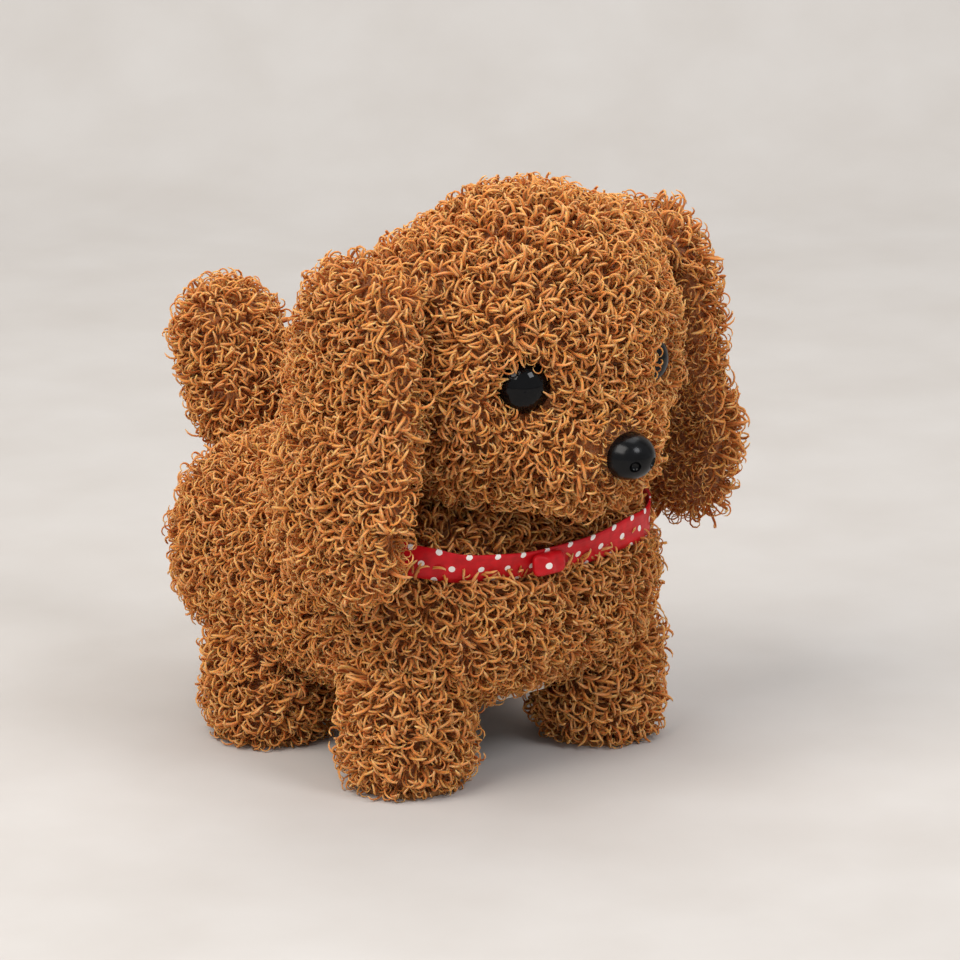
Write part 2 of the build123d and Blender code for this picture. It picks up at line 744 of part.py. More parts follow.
def build_head():
    neck_hole = rod_z(0, head_y, 0, nod_z + 12, neck_hole_radius)
    places = [eye_place(side) for side in SIDES.values()] + [nose_place]
    sinks = (eye_sink, eye_sink, nose_depth - nose_proud)
    cover = head_form() - head_form(plush) - neck_hole
    for place, radius in zip(places, (eye_radius, eye_radius, nose_half_width)):
        pocket = place * Pos(0, 0, 15) * Cylinder(radius + soft_gap, 30)
        cover -= [pocket, place * Cylinder(stem_radius, 40)]
    write_node("head_plush", cover)
    yoke = head_yoke()
    filling = head_form(plush + soft_gap) - neck_hole - yoke
    for place, sink in zip(places, sinks):
        reach = stem_length(sink) + slip
        filling -= place * Pos(0, 0, -reach / 2) * Cylinder(washer_radius + slip, reach)
    write_node("head_stuffing", filling)
    write_node("head_yoke", yoke)
    write_node("nod_pin", rod_x(-8, 8, head_y, nod_z, stem_radius))
    for name, side in SIDES.items():
        write_node(f"eye_{name}", eye_place(side) * eye_form())
    write_node("nose", nose_place * nose_form())
    write_node("face_washers", *[washer(place, sink) for place, sink in zip(places, sinks)])
    post = block(-8, 8, head_y, head_y + 8, case_top_z, case_top_z + 2)
    post += block(-8, 8, case_front_y + 1, head_y, case_top_z, case_top_z + 2)
    post += block(-4, 4, head_y - 1, head_y + 4, case_top_z, nod_z)
    post += block(-4, 4, case_front_y + 1, head_y, case_top_z, nod_z)
    post += rod_x(-4, 4, head_y, nod_z, 5)
    write_node("neck_post", post - rod_x(-5, 5, head_y, nod_z, stem_radius + running))


# ---- Ears -----------------------------------------------------------------------------
def ear_root_x():
    """Inner edge of the ear's root, just off the skull."""
    rise = ear_top_lift / head_half_height
    return (head_half_width + soft_gap) * math.sqrt(1 - rise ** 2) + soft_gap


def ear_form():
    """The left ear: a band bent over the skull's side, trimmed to a rounded tongue."""
    top = math.asin(ear_top_lift / head_half_height)
    inner = []
    outer = []
    for step in range(5):
        angle = top * (1 - step / 4)
        x = (head_half_width + soft_gap) * math.cos(angle) + soft_gap
        z = head_z + head_half_height * math.sin(angle)
        inner.append((x, z))
        outer.append((x + ear_thickness * math.cos(angle), z + ear_thickness * math.sin(angle)))
    inner_tip = (max(body_half_width + ear_flare, inner[-1][0]), ear_tip_z)
    outer_tip = (inner_tip[0] + ear_thickness, ear_tip_z)
    outline = [
        Spline(*inner), Line(inner[-1], inner_tip), Line(inner_tip, outer_tip),
        Line(outer_tip, outer[-1]), Spline(*reversed(outer)), Line(outer[0], inner[0]),
    ]
    face = make_face(Plane.XZ * Wire(outline))
    band = Pos(0, ear_y, 0) * extrude(face, ear_width / 2, both=True)
    root = ear_root_width / 2
    half = ear_width / 2
    top_z = ear_root_z + ear_thickness
    points = [
        (-root, top_z), (-half, head_z - 25), (-half + 3, ear_tip_z),
        (half - 3, ear_tip_z), (half, head_z - 25), (root, top_z),
    ]
    tongue = make_face(Polyline(*points, close=True))
    low = tongue.vertices().group_by(Axis.Y)[0]
    tongue = fillet(low, half * 0.7)
    tongue = Pos(0, ear_y, 0) * (Plane.YZ * tongue)
    return band & extrude(tongue, 200, dir=(1, 0, 0))


def build_ears():
    left = ear_form()
    write_node("ear_left", left)
    write_node("ear_right", mirror(left, about=Plane.YZ))


# ---- Body cover and ribbon ------------------------------------------------------------
def leg_opening(side, y):
    """The slot that a leg swings in, from below the belly to above the leg's top."""
    swing = math.radians(leg_swing)
    reach = (hip_z - belly_z) * math.tan(swing)
    half_length = leg_radius / math.cos(swing) + reach + swing_gap
    width = 2 * (leg_radius + swing_gap)
    slot = SlotOverall(2 * half_length, width, rotation=90)
    round_top = hip_z - (hip_z - leg_top_z + leg_top_round) * math.cos(swing)
    round_top += (leg_radius - leg_top_round) * math.sin(swing) + leg_top_round
    bottom_z = belly_z - leg_top_round
    return Pos(side * leg_x, y, bottom_z) * extrude(slot, round_top + swing_gap - bottom_z)


ribbon_lift = math.radians(ribbon_tilt)
ribbon_plane = Plane(
    origin=(0, ribbon_y, ribbon_z), x_dir=(1, 0, 0),
    z_dir=(0, -math.sin(ribbon_lift), math.cos(ribbon_lift)),
)


def ribbon_ring(half_x, half_y, height):
    """A rounded slab in the ribbon's tilted plane."""
    outline = RectangleRounded(2 * half_x, 2 * half_y, ribbon_round)
    return ribbon_plane * Pos(0, 0, -height / 2) * extrude(outline, height)


ribbon_half_x = body_half_width - 4.5
ribbon_half_y = (ribbon_y - body_front_y) / math.cos(ribbon_lift) + soft_gap


def knot_form(grow=0.0):
    """The knot on the ribbon's front, with grow added all round."""
    face_y = -ribbon_half_y - ribbon_thickness
    half_high = ribbon_width / 2 + 0.5 + grow
    half_wide = knot_half_width + grow
    knot = block(
        knot_x - half_wide, knot_x + half_wide, face_y - knot_depth - grow, face_y,
        -half_high, half_high,
    )
    knot = fillet(knot.edges().group_by(Axis.Y)[0], 1.2)
    return ribbon_plane.location * knot


def build_ribbon():
    thick = ribbon_thickness
    band = ribbon_ring(ribbon_half_x + thick, ribbon_half_y + thick, ribbon_width)
    band -= ribbon_ring(ribbon_half_x, ribbon_half_y, ribbon_width)
    write_node("collar_ribbon", band)
    write_node("ribbon_knot", knot_form())


def build_body():
    cover = body_form() - body_form(plush)
    gap = ribbon_thickness + soft_gap
    groove = ribbon_ring(ribbon_half_x + gap, ribbon_half_y + gap, ribbon_width + 2 * soft_gap)
    groove -= ribbon_ring(
        ribbon_half_x - soft_gap, ribbon_half_y - soft_gap, ribbon_width + 2 * soft_gap
    )
    cover -= [groove, knot_form(soft_gap), head_form(-nod_gap)]
    cover -= rod_z(0, head_y, box_top_z, back_z, neck_hole_radius)
    for y in LEGS.values():
        for side in SIDES.values():
            cover -= leg_opening(side, y)
    half = box_half_width + soft_gap
    front = box_front_y - well_length - soft_gap
    rear = box_rear_y + 2 * door_boss_radius + soft_gap
    cover -= block(-half, half, front, rear, 0, box_top_z)
    sway = (tail_root_z - tail_axis_z) * math.sin(math.radians(tail_swing))
    tail_room = capsule((-sway, *tail_root[1:]), (sway, *tail_root[1:]), tail_radius + swing_gap)
    cover -= tail_room
    for x in (-sway / 2, 0, sway / 2):
        cover -= capsule((x, *knee[1:]), (x, *elbow[1:]), tail_rod_radius + 2 * swing_gap)
    write_node("body_plush", cover)
    lumps = body_form(plush + soft_gap) & block(
        -body_half_width, body_half_width, case_rear_y + 5.5, body_rear_y, belly_z, back_z
    )
    lumps -= block(-15, 15, 0, body_rear_y, belly_z, back_z)
    for side in SIDES.values():
        lumps -= leg_opening(side, rear_leg_y)
        lumps -= block(
            side * 15, side * (rod_out_x + 2), 0, rear_leg_y + 20, belly_z, back_z
        )
    lumps -= tail_room
    write_node("rump_stuffing", lumps)


if __name__ == "__main__":
    os.makedirs("parts", exist_ok=True)
    build_case()
    build_drive()
    build_motor()
    build_electronics()
    build_batteries()
    build_switch()
    build_legs()
    build_rods()
    build_tail()
    build_head()
    build_ears()
    build_ribbon()
    build_body()
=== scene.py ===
import math

import bmesh
import bpy
from mathutils import Matrix, Vector, noise


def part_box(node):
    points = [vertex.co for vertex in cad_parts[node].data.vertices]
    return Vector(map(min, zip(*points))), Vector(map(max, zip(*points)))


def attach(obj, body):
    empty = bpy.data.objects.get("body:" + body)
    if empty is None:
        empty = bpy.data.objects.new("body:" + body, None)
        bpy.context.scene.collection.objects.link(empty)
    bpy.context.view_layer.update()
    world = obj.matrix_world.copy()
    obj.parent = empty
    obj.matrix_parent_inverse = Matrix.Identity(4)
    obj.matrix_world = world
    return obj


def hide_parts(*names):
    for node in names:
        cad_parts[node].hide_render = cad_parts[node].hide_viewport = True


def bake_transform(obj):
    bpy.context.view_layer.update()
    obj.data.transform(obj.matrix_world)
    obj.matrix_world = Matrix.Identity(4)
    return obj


bl_info = {
    "name": "Walking plush puppy",
    "version": (1, 0, 0),
    "blender": (4, 5, 0),
    "location": "View3D > Sidebar > Puppy",
    "description": "Curly cover, ribbon, face and inner finishes round the fixed frame",
    "category": "Object",
}

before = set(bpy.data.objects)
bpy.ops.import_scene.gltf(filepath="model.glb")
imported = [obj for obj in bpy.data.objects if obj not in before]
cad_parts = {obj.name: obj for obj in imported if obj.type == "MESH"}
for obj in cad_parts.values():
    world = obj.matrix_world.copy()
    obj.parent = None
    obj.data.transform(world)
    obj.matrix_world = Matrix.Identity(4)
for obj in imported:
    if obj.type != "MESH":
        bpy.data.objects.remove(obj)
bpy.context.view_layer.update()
MM = 0.001
SIDES = {"right": -1, "left": 1}
ENDS = ("front", "rear")


# ---- Shared helpers --------------------------------------------------------------------
def linear(hex_colour):
    """An sRGB hex colour, such as "#c08040", as linear RGB."""
    parts = [int(hex_colour[i:i + 2], 16) / 255 for i in (1, 3, 5)]
    return tuple(c / 12.92 if c <= 0.04045 else ((c + 0.055) / 1.055) ** 2.4 for c in parts)


def rgba(hex_colour):
    return (*linear(hex_colour), 1.0)


def middle(node):
    """The middle of a CAD node's box, and its half sizes."""
    low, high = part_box(node)
    return (low + high) / 2, (high - low) / 2


def add_node(tree, kind, settings=None, **links):
    """One node in a tree: settings for its properties, links for its sockets by name.
    A link is a socket of another node, or a value for the socket itself."""
    node = tree.nodes.new(kind)
    for name, value in (settings or {}).items():
        setattr(node, name, value)
    for name, value in links.items():
        wanted = name.replace("_", " ").lower()
        socket = next(s for s in node.inputs if s.enabled and s.name.lower() == wanted)
        if isinstance(value, bpy.types.NodeSocket):
            tree.links.new(value, socket)
        else:
            socket.default_value = value
    return node


def ramp_colours(node, stops):
    """Sets a colour ramp's stops: (place, hex colour) pairs."""
    ramp = node.color_ramp
    while len(ramp.elements) < len(stops):
        ramp.elements.new(0.5)
    for element, (place, colour) in zip(ramp.elements, stops):
        element.position = place
        element.color = rgba(colour)


def new_material(name):
    """An empty node material with its shader, and the two."""
    material = bpy.data.materials.new(name)
    material.use_nodes = True
    tree = material.node_tree
    return material, tree, tree.nodes["Principled BSDF"]


def mottled(name, light, dark, roughness, grain, bump=0.0, metallic=0.0, coat=0.0, spread=0.06):
    """A moulded, cast or drawn surface: two close shades and a rough patchiness at grain mm."""
    material, tree, shader = new_material(name)
    place = add_node(tree, "ShaderNodeTexCoord").outputs["Object"]
    patches = add_node(tree, "ShaderNodeTexNoise", Vector=place, Scale=1 / (grain * MM),
                       Detail=4.0, Roughness=0.55)
    ramp = add_node(tree, "ShaderNodeValToRGB", Fac=patches.outputs["Fac"])
    ramp_colours(ramp, [(0.35, dark), (0.65, light)])
    rough = add_node(tree, "ShaderNodeMapRange", Value=patches.outputs["Fac"],
                     To_Min=roughness - spread, To_Max=roughness + spread)
    tree.links.new(ramp.outputs["Color"], shader.inputs["Base Color"])
    tree.links.new(rough.outputs["Result"], shader.inputs["Roughness"])
    shader.inputs["Metallic"].default_value = metallic
    shader.inputs["Coat Weight"].default_value = coat
    if bump:
        fine = add_node(tree, "ShaderNodeTexNoise", Vector=place, Scale=1 / (0.35 * MM),
                        Detail=2.0)
        raised = add_node(tree, "ShaderNodeBump", Height=fine.outputs["Fac"], Strength=bump,
                          Distance=0.05 * MM)
        tree.links.new(raised.outputs["Normal"], shader.inputs["Normal"])
    return material


def finish_node(node, material):
    """Gives a carried-over CAD node its material."""
    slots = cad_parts[node].data.materials
    slots.clear()
    slots.append(material)


def mesh_object(name, bm):
    """Turns a bmesh into an object linked to the scene."""
    mesh = bpy.data.meshes.new(name)
    bm.to_mesh(mesh)
    bm.free()
    piece = bpy.data.objects.new(name, mesh)
    bpy.context.scene.collection.objects.link(piece)
    return piece


def smooth_shade(piece):
    for face in piece.data.polygons:
        face.use_smooth = True


def applied(piece):
    """Turns a piece's modifiers into its mesh."""
    graph = bpy.context.evaluated_depsgraph_get()
    made = bpy.data.meshes.new_from_object(piece.evaluated_get(graph))
    piece.modifiers.clear()
    old, piece.data = piece.data, made
    bpy.data.meshes.remove(old)
    return piece


def remeshed(piece, voxel, rounds):
    """Melts the overlapping forms of a piece into one stuffed skin."""
    melt = piece.modifiers.new("melt", "REMESH")
    melt.mode = "VOXEL"
    melt.voxel_size = voxel * MM
    soften = piece.modifiers.new("soften", "SMOOTH")
    soften.factor = 0.5
    soften.iterations = rounds
    applied(piece)
    smooth_shade(piece)
    return piece


def lumpy(piece, depth, size, seed):
    """Pushes the skin in and out a little, as loose filling does."""
    bm = bmesh.new()
    bm.from_mesh(piece.data)
    bm.normal_update()
    for vert in bm.verts:
        push = noise.noise(vert.co / (size * MM) + Vector((seed, 0, 0)))
        vert.co += vert.normal * push * depth * MM
    bm.to_mesh(piece.data)
    bm.free()


def ball(bm, place, halves, rings=24):
    """A ball or egg at a place, with half sizes, into a bmesh."""
    shape = Matrix.Translation(place) @ Matrix.Diagonal((*halves, 1))
    bmesh.ops.create_uvsphere(bm, u_segments=2 * rings, v_segments=rings, radius=1, matrix=shape)


def rounded_block(bm, place, halves, round_by):
    """A block with its edges rounded, into a bmesh."""
    shape = Matrix.Translation(place) @ Matrix.Diagonal((*[2 * h for h in halves], 1))
    verts = bmesh.ops.create_cube(bm, size=1, matrix=shape)["verts"]
    edges = {edge for vert in verts for edge in vert.link_edges}
    bmesh.ops.bevel(bm, geom=list(edges), offset=round_by, segments=8, profile=0.5,
                    affect="EDGES", material=-1)


# ---- Curly pile ------------------------------------------------------------------------
def curl_mesh(name, height, hook, turn, width, sway):
    """One lock of pile: a flattened tapering tube that rises, leans and hooks over."""
    bm = bmesh.new()
    along = bm.verts.layers.float.new("along")
    ring = bmesh.ops.create_circle(bm, cap_ends=False, radius=0.5 * width, segments=3)["verts"]
    bmesh.ops.scale(bm, vec=(1, 0.62, 1), verts=ring)
    edges = list({edge for vert in ring for edge in vert.link_edges})
    rise = 1
    steps = 5
    heading = Matrix.Rotation(sway, 3, "Y")
    place = Vector((0, 0, 0))
    for step in range(rise + steps):
        grown = bmesh.ops.extrude_edge_only(bm, edges=edges)["geom"]
        verts = [g for g in grown if isinstance(g, bmesh.types.BMVert)]
        edges = [g for g in grown if isinstance(g, bmesh.types.BMEdge)]
        bend = 0.0 if step < rise else turn / steps
        length = height / rise if step < rise else abs(hook * turn / steps)
        turned = Matrix.Rotation(bend, 3, "X") @ Matrix.Rotation(0.16 * bend, 3, "Z")
        heading = heading @ turned
        move = heading @ Vector((0, 0, length))
        thin = 0.93 if step < rise + steps - 1 else 0.45
        bmesh.ops.rotate(bm, cent=place, matrix=heading @ turned @ heading.inverted(), verts=verts)
        place = place + move
        bmesh.ops.translate(bm, vec=move, verts=verts)
        centre = sum((v.co for v in verts), Vector()) / len(verts)
        for vert in verts:
            vert.co = centre + (vert.co - centre) * thin
            vert[along] = (step + 1) / (rise + steps)
    bmesh.ops.contextual_create(bm, geom=edges)
    bmesh.ops.recalc_face_normals(bm, faces=bm.faces)
    for face in bm.faces:
        face.smooth = True
    mesh = bpy.data.meshes.new(name)
    bm.to_mesh(mesh)
    bm.free()
    return bpy.data.objects.new(name, mesh)


def curl_set(settings):
    """The handful of lock shapes that the whole pile is grown from."""
    name = "curl_shapes"
    if name in bpy.data.collections:
        return bpy.data.collections[name]
    shapes = bpy.data.collections.new(name)
    width = settings.lock_width
    for number, (height, hook, turn, wide, sway) in enumerate((
        (4.4, 1.7, 3.4, 1.0, 0.25), (3.4, 2.2, 2.8, 0.9, -0.35), (5.0, 1.4, 4.0, 0.8, 0.40),
        (3.8, 2.9, 2.0, 1.1, 0.15), (3.0, 2.0, -3.4, 0.95, 0.5), (5.4, 1.6, -2.6, 0.8, -0.3),
    )):
        shapes.objects.link(
            curl_mesh(f"curl_{number}", height * MM, hook * MM, turn, wide * width, sway))
    return shapes


def pile_tree(settings):
    """The node group that plants locks all over a skin."""
    if "plant_locks" in bpy.data.node_groups:
        return bpy.data.node_groups["plant_locks"]
    tree = bpy.data.node_groups.new("plant_locks", "GeometryNodeTree")
    face = tree.interface
    face.new_socket("Geometry", in_out="OUTPUT", socket_type="NodeSocketGeometry")
    face.new_socket("Geometry", in_out="INPUT", socket_type="NodeSocketGeometry")
    face.new_socket("Seed", in_out="INPUT", socket_type="NodeSocketInt")
    face.new_socket("Length", in_out="INPUT", socket_type="NodeSocketFloat")
    face.new_socket("Spacing", in_out="INPUT", socket_type="NodeSocketFloat")
    given = add_node(tree, "NodeGroupInput").outputs
    kept = add_node(tree, "GeometryNodeInputNamedAttribute", {"data_type": "FLOAT"}, Name="pile")
    spots = add_node(tree, "GeometryNodeDistributePointsOnFaces", {"distribute_method": "POISSON"},
                     Mesh=given["Geometry"], Distance_Min=given["Spacing"], Density_Max=2.2e6,
                     Density_Factor=kept.outputs["Attribute"], Seed=given["Seed"])
    place = add_node(tree, "GeometryNodeInputPosition").outputs["Position"]
    clumps = add_node(tree, "ShaderNodeTexNoise", Vector=place, Scale=1 / settings.clump_size,
                      Detail=2.0)
    lean = add_node(tree, "ShaderNodeVectorMath", {"operation": "SUBTRACT"})
    tree.links.new(clumps.outputs["Color"], lean.inputs[0])
    lean.inputs[1].default_value = (0.5, 0.5, 0.5)
    leaning = add_node(tree, "ShaderNodeVectorMath", {"operation": "SCALE"},
                       Vector=lean.outputs["Vector"], Scale=settings.clump_lean)
    stray = add_node(tree, "FunctionNodeRandomValue", {"data_type": "FLOAT_VECTOR"},
                     Seed=given["Seed"])
    stray.inputs["Min"].default_value = (-settings.stray_lean,) * 3
    stray.inputs["Max"].default_value = (settings.stray_lean,) * 3
    summed = add_node(tree, "ShaderNodeVectorMath", {"operation": "ADD"})
    tree.links.new(spots.outputs["Normal"], summed.inputs[0])
    tree.links.new(leaning.outputs["Vector"], summed.inputs[1])
    droop = add_node(tree, "ShaderNodeVectorMath", {"operation": "ADD"})
    tree.links.new(summed.outputs["Vector"], droop.inputs[0])
    droop.inputs[1].default_value = (0, 0, -settings.droop)
    heading = add_node(tree, "ShaderNodeVectorMath", {"operation": "ADD"})
    tree.links.new(droop.outputs["Vector"], heading.inputs[0])
    tree.links.new(next(s for s in stray.outputs if s.enabled), heading.inputs[1])
    upright = add_node(tree, "FunctionNodeAlignRotationToVector", {"axis": "Z"},
                       Vector=heading.outputs["Vector"])
    spin = add_node(tree, "FunctionNodeRandomValue", {"data_type": "FLOAT"}, Seed=11)
    floats = [s for s in spin.inputs if s.enabled]
    floats[0].default_value, floats[1].default_value = 0.0, 2 * math.pi
    turned = add_node(tree, "FunctionNodeAxisAngleToRotation", Axis=(0, 0, 1),
                      Angle=next(s for s in spin.outputs if s.enabled))
    both = add_node(tree, "FunctionNodeRotateRotation", {"rotation_space": "LOCAL"},
                    Rotation=upright.outputs["Rotation"], Rotate_By=turned.outputs["Rotation"])
    size = add_node(tree, "FunctionNodeRandomValue", {"data_type": "FLOAT"}, Seed=23)
    floats = [s for s in size.inputs if s.enabled]
    floats[0].default_value, floats[1].default_value = 0.75, 1.2
    trimmed = add_node(tree, "GeometryNodeInputNamedAttribute", {"data_type": "FLOAT"},
                       Name="trim")
    grown = add_node(tree, "ShaderNodeMath", {"operation": "MULTIPLY"})
    tree.links.new(next(s for s in size.outputs if s.enabled), grown.inputs[0])
    tree.links.new(given["Length"], grown.inputs[1])
    cut = add_node(tree, "ShaderNodeMath", {"operation": "MULTIPLY"})
    tree.links.new(grown.outputs["Value"], cut.inputs[0])
    tree.links.new(trimmed.outputs["Attribute"], cut.inputs[1])
    shade = add_node(tree, "FunctionNodeRandomValue", {"data_type": "FLOAT"}, Seed=37)
    marked = add_node(tree, "GeometryNodeStoreNamedAttribute",
                      {"data_type": "FLOAT", "domain": "POINT"},
                      Geometry=spots.outputs["Points"], Name="shade",
                      Value=next(s for s in shade.outputs if s.enabled))
    shapes = add_node(tree, "GeometryNodeCollectionInfo", Collection=curl_set(settings),
                      Separate_Children=True, Reset_Children=True)
    locks = add_node(tree, "GeometryNodeInstanceOnPoints", Points=marked.outputs["Geometry"],
                     Instance=shapes.outputs["Instances"], Pick_Instance=True,
                     Rotation=both.outputs["Rotation"], Scale=cut.outputs["Value"])
    real = add_node(tree, "GeometryNodeRealizeInstances", Geometry=locks.outputs["Instances"])
    out = add_node(tree, "NodeGroupOutput")
    tree.links.new(real.outputs["Geometry"], out.inputs["Geometry"])
    return tree


def set_attribute(piece, name, rule):
    """A number on each vertex of a skin, from its place."""
    mesh = piece.data
    layer = mesh.attributes.get(name) or mesh.attributes.new(name, "FLOAT", "POINT")
    for vert, item in zip(mesh.vertices, layer.data):
        item.value = rule(vert.co, vert.normal)


def ease(value, low, high):
    """0 below low, 1 above high, and a smooth climb between."""
    t = min(1.0, max(0.0, (value - low) / (high - low)))
    return t * t * (3 - 2 * t)


def grow_pile(skin, name, settings, material, seed, cuts=(), length=1.0, spacing=None):
    """Locks grown on one part of a skin. cuts are planes: (point, normal) keeps the side
    that the normal leaves."""
    patch = skin.copy()
    patch.data = skin.data.copy()
    bpy.context.scene.collection.objects.link(patch)
    if cuts:
        bm = bmesh.new()
        bm.from_mesh(patch.data)
        for point, normal in cuts:
            bmesh.ops.bisect_plane(bm, geom=[*bm.verts, *bm.edges, *bm.faces], plane_co=point,
                                   plane_no=normal, clear_outer=True)
        bm.to_mesh(patch.data)
        bm.free()
    plant = patch.modifiers.new("plant", "NODES")
    plant.node_group = pile_tree(settings)
    named = {item.name: item.identifier for item in plant.node_group.interface.items_tree
             if item.in_out == "INPUT"}
    plant[named["Seed"]] = seed
    plant[named["Length"]] = length
    plant[named["Spacing"]] = spacing or settings.lock_spacing
    applied(patch)
    if not patch.data.polygons:
        raise RuntimeError(f"no lock grew for {name}")
    patch.name = patch.data.name = name
    patch.data.materials.clear()
    patch.data.materials.append(material)
    return patch


def plush_material(settings):
    """Curly polyester boucle pile: dull fibre bundles, pale tips as painted light and a deep
    red-brown towards the backing as painted shade, so the gaps between curls read dark."""
    if "curly_polyester_pile" in bpy.data.materials:
        return bpy.data.materials["curly_polyester_pile"]
    material, tree, shader = new_material("curly_polyester_pile")
    along = add_node(tree, "ShaderNodeAttribute", {"attribute_name": "along"}).outputs["Fac"]
    shade = add_node(tree, "ShaderNodeAttribute", {"attribute_name": "shade"}).outputs["Fac"]
    place = add_node(tree, "ShaderNodeTexCoord").outputs["Object"]
    patches = add_node(tree, "ShaderNodeTexNoise", Vector=place, Scale=1 / (9 * MM), Detail=2.0)
    level = add_node(tree, "ShaderNodeMapRange", Value=along, From_Max=1.0)
    # Painted shade and painted light along each lock: dark red-brown at the root, pale at the tip.
    ramp = add_node(tree, "ShaderNodeValToRGB", Fac=level.outputs["Result"])
    ramp_colours(ramp, [(0.0, settings.root_painted_shade), (0.45, settings.pile_colour),
                        (1.0, settings.tip_painted_light)])
    drift = add_node(tree, "ShaderNodeMath", {"operation": "ADD"})
    tree.links.new(shade, drift.inputs[0])
    tree.links.new(patches.outputs["Fac"], drift.inputs[1])
    value = add_node(tree, "ShaderNodeMapRange", Value=drift.outputs["Value"], From_Min=0.3,
                     From_Max=1.7, To_Min=0.84, To_Max=1.16)
    hue = add_node(tree, "ShaderNodeMapRange", Value=shade, To_Min=0.494, To_Max=0.504)
    tinted = add_node(tree, "ShaderNodeHueSaturation", Color=ramp.outputs["Color"],
                      Value=value.outputs["Result"], Hue=hue.outputs["Result"])
    tree.links.new(tinted.outputs["Color"], shader.inputs["Base Color"])
    shader.inputs["Roughness"].default_value = 0.85
    shader.inputs["Specular IOR Level"].default_value = 0.15
    shader.inputs["Subsurface Weight"].default_value = 0.5
    shader.inputs["Subsurface Radius"].default_value = (1.0, 0.42, 0.16)
    shader.inputs["Subsurface Scale"].default_value = 1.2 * MM
    shader.inputs["Sheen Weight"].default_value = 0.4
    shader.inputs["Sheen Roughness"].default_value = 0.45
    shader.inputs["Sheen Tint"].default_value = rgba(settings.tip_painted_light)
    return material


def backing_material(settings):
    """Knitted polyester backing under short fuzz: dull, with light and dark flecks that run
    on between the locks. Its tone is partly the cloth's own and partly painted shade, darker
    than the pile so the gaps between locks read dark."""
    if "knitted_polyester_backing" in bpy.data.materials:
        return bpy.data.materials["knitted_polyester_backing"]
    material, tree, shader = new_material("knitted_polyester_backing")
    place = add_node(tree, "ShaderNodeTexCoord").outputs["Object"]
    fuzz = add_node(tree, "ShaderNodeTexNoise", Vector=place, Scale=1 / (1.1 * MM), Detail=4.0,
                    Roughness=0.65, Distortion=1.6)
    ramp = add_node(tree, "ShaderNodeValToRGB", Fac=fuzz.outputs["Fac"])
    # Flecks run from the roots' painted shade, through the backing's partly painted shade, to the
    # pile colour.
    ramp_colours(ramp, [(0.38, settings.root_painted_shade), (0.5, settings.backing_cloth_and_shade_colour),
                        (0.66, settings.pile_colour)])
    raised = add_node(tree, "ShaderNodeBump", Height=fuzz.outputs["Fac"], Strength=1.0,
                      Distance=1.2 * MM)
    tree.links.new(ramp.outputs["Color"], shader.inputs["Base Color"])
    tree.links.new(raised.outputs["Normal"], shader.inputs["Normal"])
    shader.inputs["Roughness"].default_value = 0.9
    shader.inputs["Sheen Weight"].default_value = 0.2
    return material


def dress(skin, body, nodes, settings):
    """A stuffed skin's material, its body and what it stands for."""
    skin.data.materials.clear()
    skin.data.materials.append(backing_material(settings))
    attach(skin, body)
    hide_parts(*nodes)


# ---- Settings --------------------------------------------------------------------------
def length_prop(name, about, default):
    return bpy.props.FloatProperty(name=name, description=about, default=default,
                                   unit="LENGTH", subtype="DISTANCE", precision=5)


class PuppyPile(bpy.types.PropertyGroup):
    """The curly pile, the same all over."""
    lock_width: length_prop("Lock width", "Across one curled lock", 1.15 * MM)
    lock_spacing: length_prop("Lock spacing", "Least distance between two roots", 0.97 * MM)
    clump_size: length_prop("Clump size", "Across a clump that leans one way", 5.5 * MM)
    clump_lean: bpy.props.FloatProperty(
        name="Clump lean", description="How far clumps lean over", default=1.9)
    stray_lean: bpy.props.FloatProperty(
        name="Stray lean", description="How far single locks lean over", default=0.6)
    droop: bpy.props.FloatProperty(
        name="Droop", description="How far locks hang down", default=0.22)
    skin_depth: length_prop("Skin depth", "Backing cloth below the middle of the pile", 4.0 * MM)
    # The root colour is painted shade, darkest down among the locks.
    root_painted_shade: bpy.props.StringProperty(
        name="Root colour", description="Shade at the backing", default="#a85f2c")
    pile_colour: bpy.props.StringProperty(
        name="Pile colour", description="Shade half way up", default="#cf8646")
    # The tip colour is painted light, palest at the tips of the locks.
    tip_painted_light: bpy.props.StringProperty(
        name="Tip colour", description="Shade at the tips", default="#e9ac70")
    # The backing colour is partly the knitted cloth's own and partly painted shade for the gaps
    # between locks.
    backing_cloth_and_shade_colour: bpy.props.StringProperty(
        name="Backing colour", description="Shade of the knitted cloth", default="#b86c34")


class PuppyRibbon(bpy.types.PropertyGroup):
    """The spotted collar ribbon."""
    width: length_prop("Width", "Across the woven ribbon", 9.4 * MM)
    thickness: length_prop("Thickness", "Through the ribbon", 0.5 * MM)
    tilt: bpy.props.FloatProperty(
        name="Tilt", description="Back edge up", default=math.radians(15), subtype="ANGLE")
    dot: length_prop("Dot", "Radius of a printed dot", 0.95 * MM)
    dot_spacing: length_prop("Dot spacing", "Between two dots of a row", 6.2 * MM)
    colour: bpy.props.StringProperty(
        name="Colour", description="Satin ground", default="#d3131f")
    dot_colour: bpy.props.StringProperty(
        name="Dot colour", description="Printed dots", default="#f3ece6")


class PuppyStage(bpy.types.PropertyGroup):
    """Camera and light."""
    azimuth: bpy.props.FloatProperty(
        name="Azimuth", description="Camera turned round the puppy", default=math.radians(-41),
        subtype="ANGLE")
    elevation: bpy.props.FloatProperty(
        name="Elevation", description="Camera above level", default=math.radians(15.6),
        subtype="ANGLE")
    distance: length_prop("Distance", "Camera to the puppy's middle", 1.6)
    view_width: length_prop("View width", "Seen across the puppy's middle", 0.278)


# ---- Skins and pile --------------------------------------------------------------------
EYE_DOME = 5.4 * MM        # eye's back face to its front
EYE_POCKET = 8.4 * MM      # radius pressed flat behind an eye
SKULL_DEPTH = 39.5 * MM    # half the skull, fore and aft
SKULL_HEIGHT = 47 * MM     # half the skull, up and down


